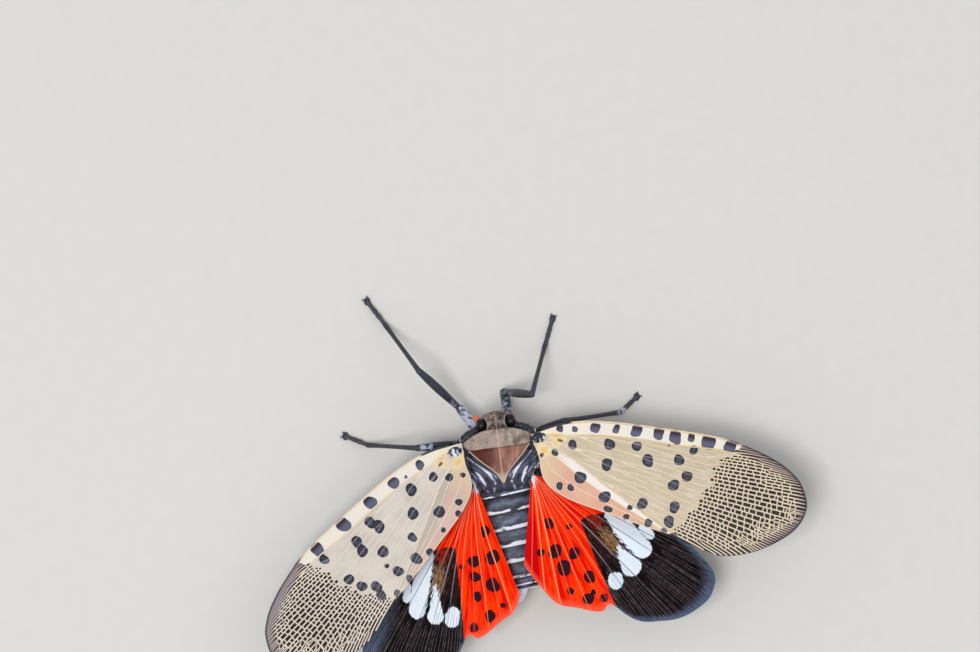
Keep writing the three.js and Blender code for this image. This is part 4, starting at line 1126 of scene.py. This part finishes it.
def net_thread(strand, strands, ends):
    """One strand of the net, led in from the nearest vein's end, finer where others run close."""
    seen = np.isfinite(strand)
    begins, stops = stations[seen][[0, -1]]
    a = begins + (stops - begins) * share
    b = np.interp(a, stations[seen], strand[seen])
    first = b[0]
    if begins < net_start(first) + 1.2 * NET_UNEVEN and first > costal_vein(begins) + 0.1:
        near = ends[np.argmin(np.abs(ends[:, 1] - first * 0.9))]
        lead, rest = share / LEAD_IN, unit((share - LEAD_IN) / (1 - LEAD_IN))
        a = np.where(lead < 1, near[0] + (begins - near[0]) * lead, begins + (stops - begins) * rest)
        b = np.where(lead < 1, near[1] + (first - near[1]) * eased(lead),
                     np.interp(a, stations[seen], strand[seen]))
    apart = np.abs(strands - strand)
    apart = np.interp(a, stations, np.where(apart > 0.01, apart, 9.0).min(0))
    wide = unit((a - begins) / 0.3 + 0.5) * unit(apart / 0.2 - 0.4)
    return a, b, NET_FINE + (NET_LINE - NET_FINE) * wide, 0.0


def net_bars(strands, draw):
    """The short bars from each strand to the next, two ends for each."""
    bars = []
    for strand in strands:
        begins, stops = stations[np.isfinite(strand)][[0, -1]]
        at = begins + 0.03
        while at < stops:
            here = int((at - stations[0]) / STATION)
            beyond = strands[:, here] - strand[here]
            gap = np.min(beyond[beyond > 0.02], initial=9.0)
            if BAR_GAPS[0] < gap < BAR_GAPS[1]:
                slant = draw.uniform(*BAR_SLANT)
                bars.append(((at + slant, strand[here]), (at - slant, strand[here] + gap)))
            at += (BAR_STEPS[0] + BAR_STEPS[1] * unit((at - begins) / 2)) * draw.uniform(*BAR_SPREAD)
    a, b = np.moveaxis(np.array(bars), -1, 0)
    keep = off_line(a[:, 0], b[:, 0], outer_line) > NET_OPEN
    return a[keep], b[keep]


thread = Finish("forewing_vein", Roughness=0.5, Specular_IOR_Level=0.3)
cream = thread.noise(thread.place(), 2.5).mix((212, 194, 166), (232, 218, 194))
# Painted shading: the left wing's veins are a greyer cream.
cream = (thread.mark("shade") * 0.7).mix(cream, (216, 206, 194))
cream = thread.mark("gold").mix(cream, (219, 189, 138))
cream = thread.mark("margin", 0.9, 0.1).mix(cream, (170, 148, 144))
# Painted shading: the left wing's lilac-grey band reaches its veins too.
cream = (thread.mark("fold", 0.15, 0.9) * 0.75).mix(cream, (160, 148, 154))
cream = thread.mark("margin", 0.25, 0.05).mix(cream, (72, 62, 68))
cream = (thread.mark("spot", -0.03, 0.03) * thread.mark("plain")).mix(cream, (92, 92, 110))
thread.done(thread.mark("soot", 0, 0.5).mix(cream, (40, 40, 54)))

share = np.linspace(0, 1, 44)
for name, wing in FOREWINGS.items():
    draw = np.random.default_rng(31)
    threads = []
    for count, begin, end, radius in STEMS:
        for number in range(count):
            parent = STEM_ROOTS[0] + STEM_ROOTS[1] * number
            if count > 3:
                parent = branch(count // 2, min(number // 2, count // 2 - 1))
            begins = begin + draw.uniform(-STEM_UNEVEN, STEM_UNEVEN)
            t = parent + (branch(count, number) - parent) * unit(share / 0.4)
            s = begins + (end + STEM_LAP - begins) * share
            threads.append((*forewing_plan(s, t), radius, 0.0))
    for t, end, radius, gold in SINGLE_VEINS:
        threads.append((*forewing_plan(0.01 + end * share, t), radius, gold))
    for curve, low, high, end, radius, gold in CURVED_VEINS:
        s, trial = 0.01 + end * share, np.linspace(low, high, 120)
        rows = zip(*forewing_plan(s[:, None], trial))
        t = np.array([np.interp(0, b - curve(a), trial) for a, b in rows])
        threads.append((*forewing_plan(s, t), radius, gold))
    strands = net_strands(wing, draw)
    ends = np.array([forewing_plan(0.61, branch(13, number)) for number in range(13)])
    threads += [net_thread(strand, strands, ends) for strand in strands]
    lines, radii, marks = [], [], []
    for a, b, radius, gold in threads:
        lines.append(forewing_at(wing, a, b, VEIN_RISE))
        radii.append(np.broadcast_to(radius, a.shape))
        marks.append(thread_marks(name, a, b, gold))
        marks[-1]["margin"] += unit(b - 3.4) * 0.8
    pieces = [vein_piece(f"forewing_{name}_veins", thread, lines, radii, marks)]
    a, b = net_bars(strands, draw)
    pieces.append(vein_piece(f"forewing_{name}_net", thread, forewing_at(wing, a, b, VEIN_RISE),
                             BAR_RADIUS, [thread_marks(name, a, b)], BAR_SIDES))
    for made in pieces:
        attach(made, "root")
        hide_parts(f"forewing_{name}")
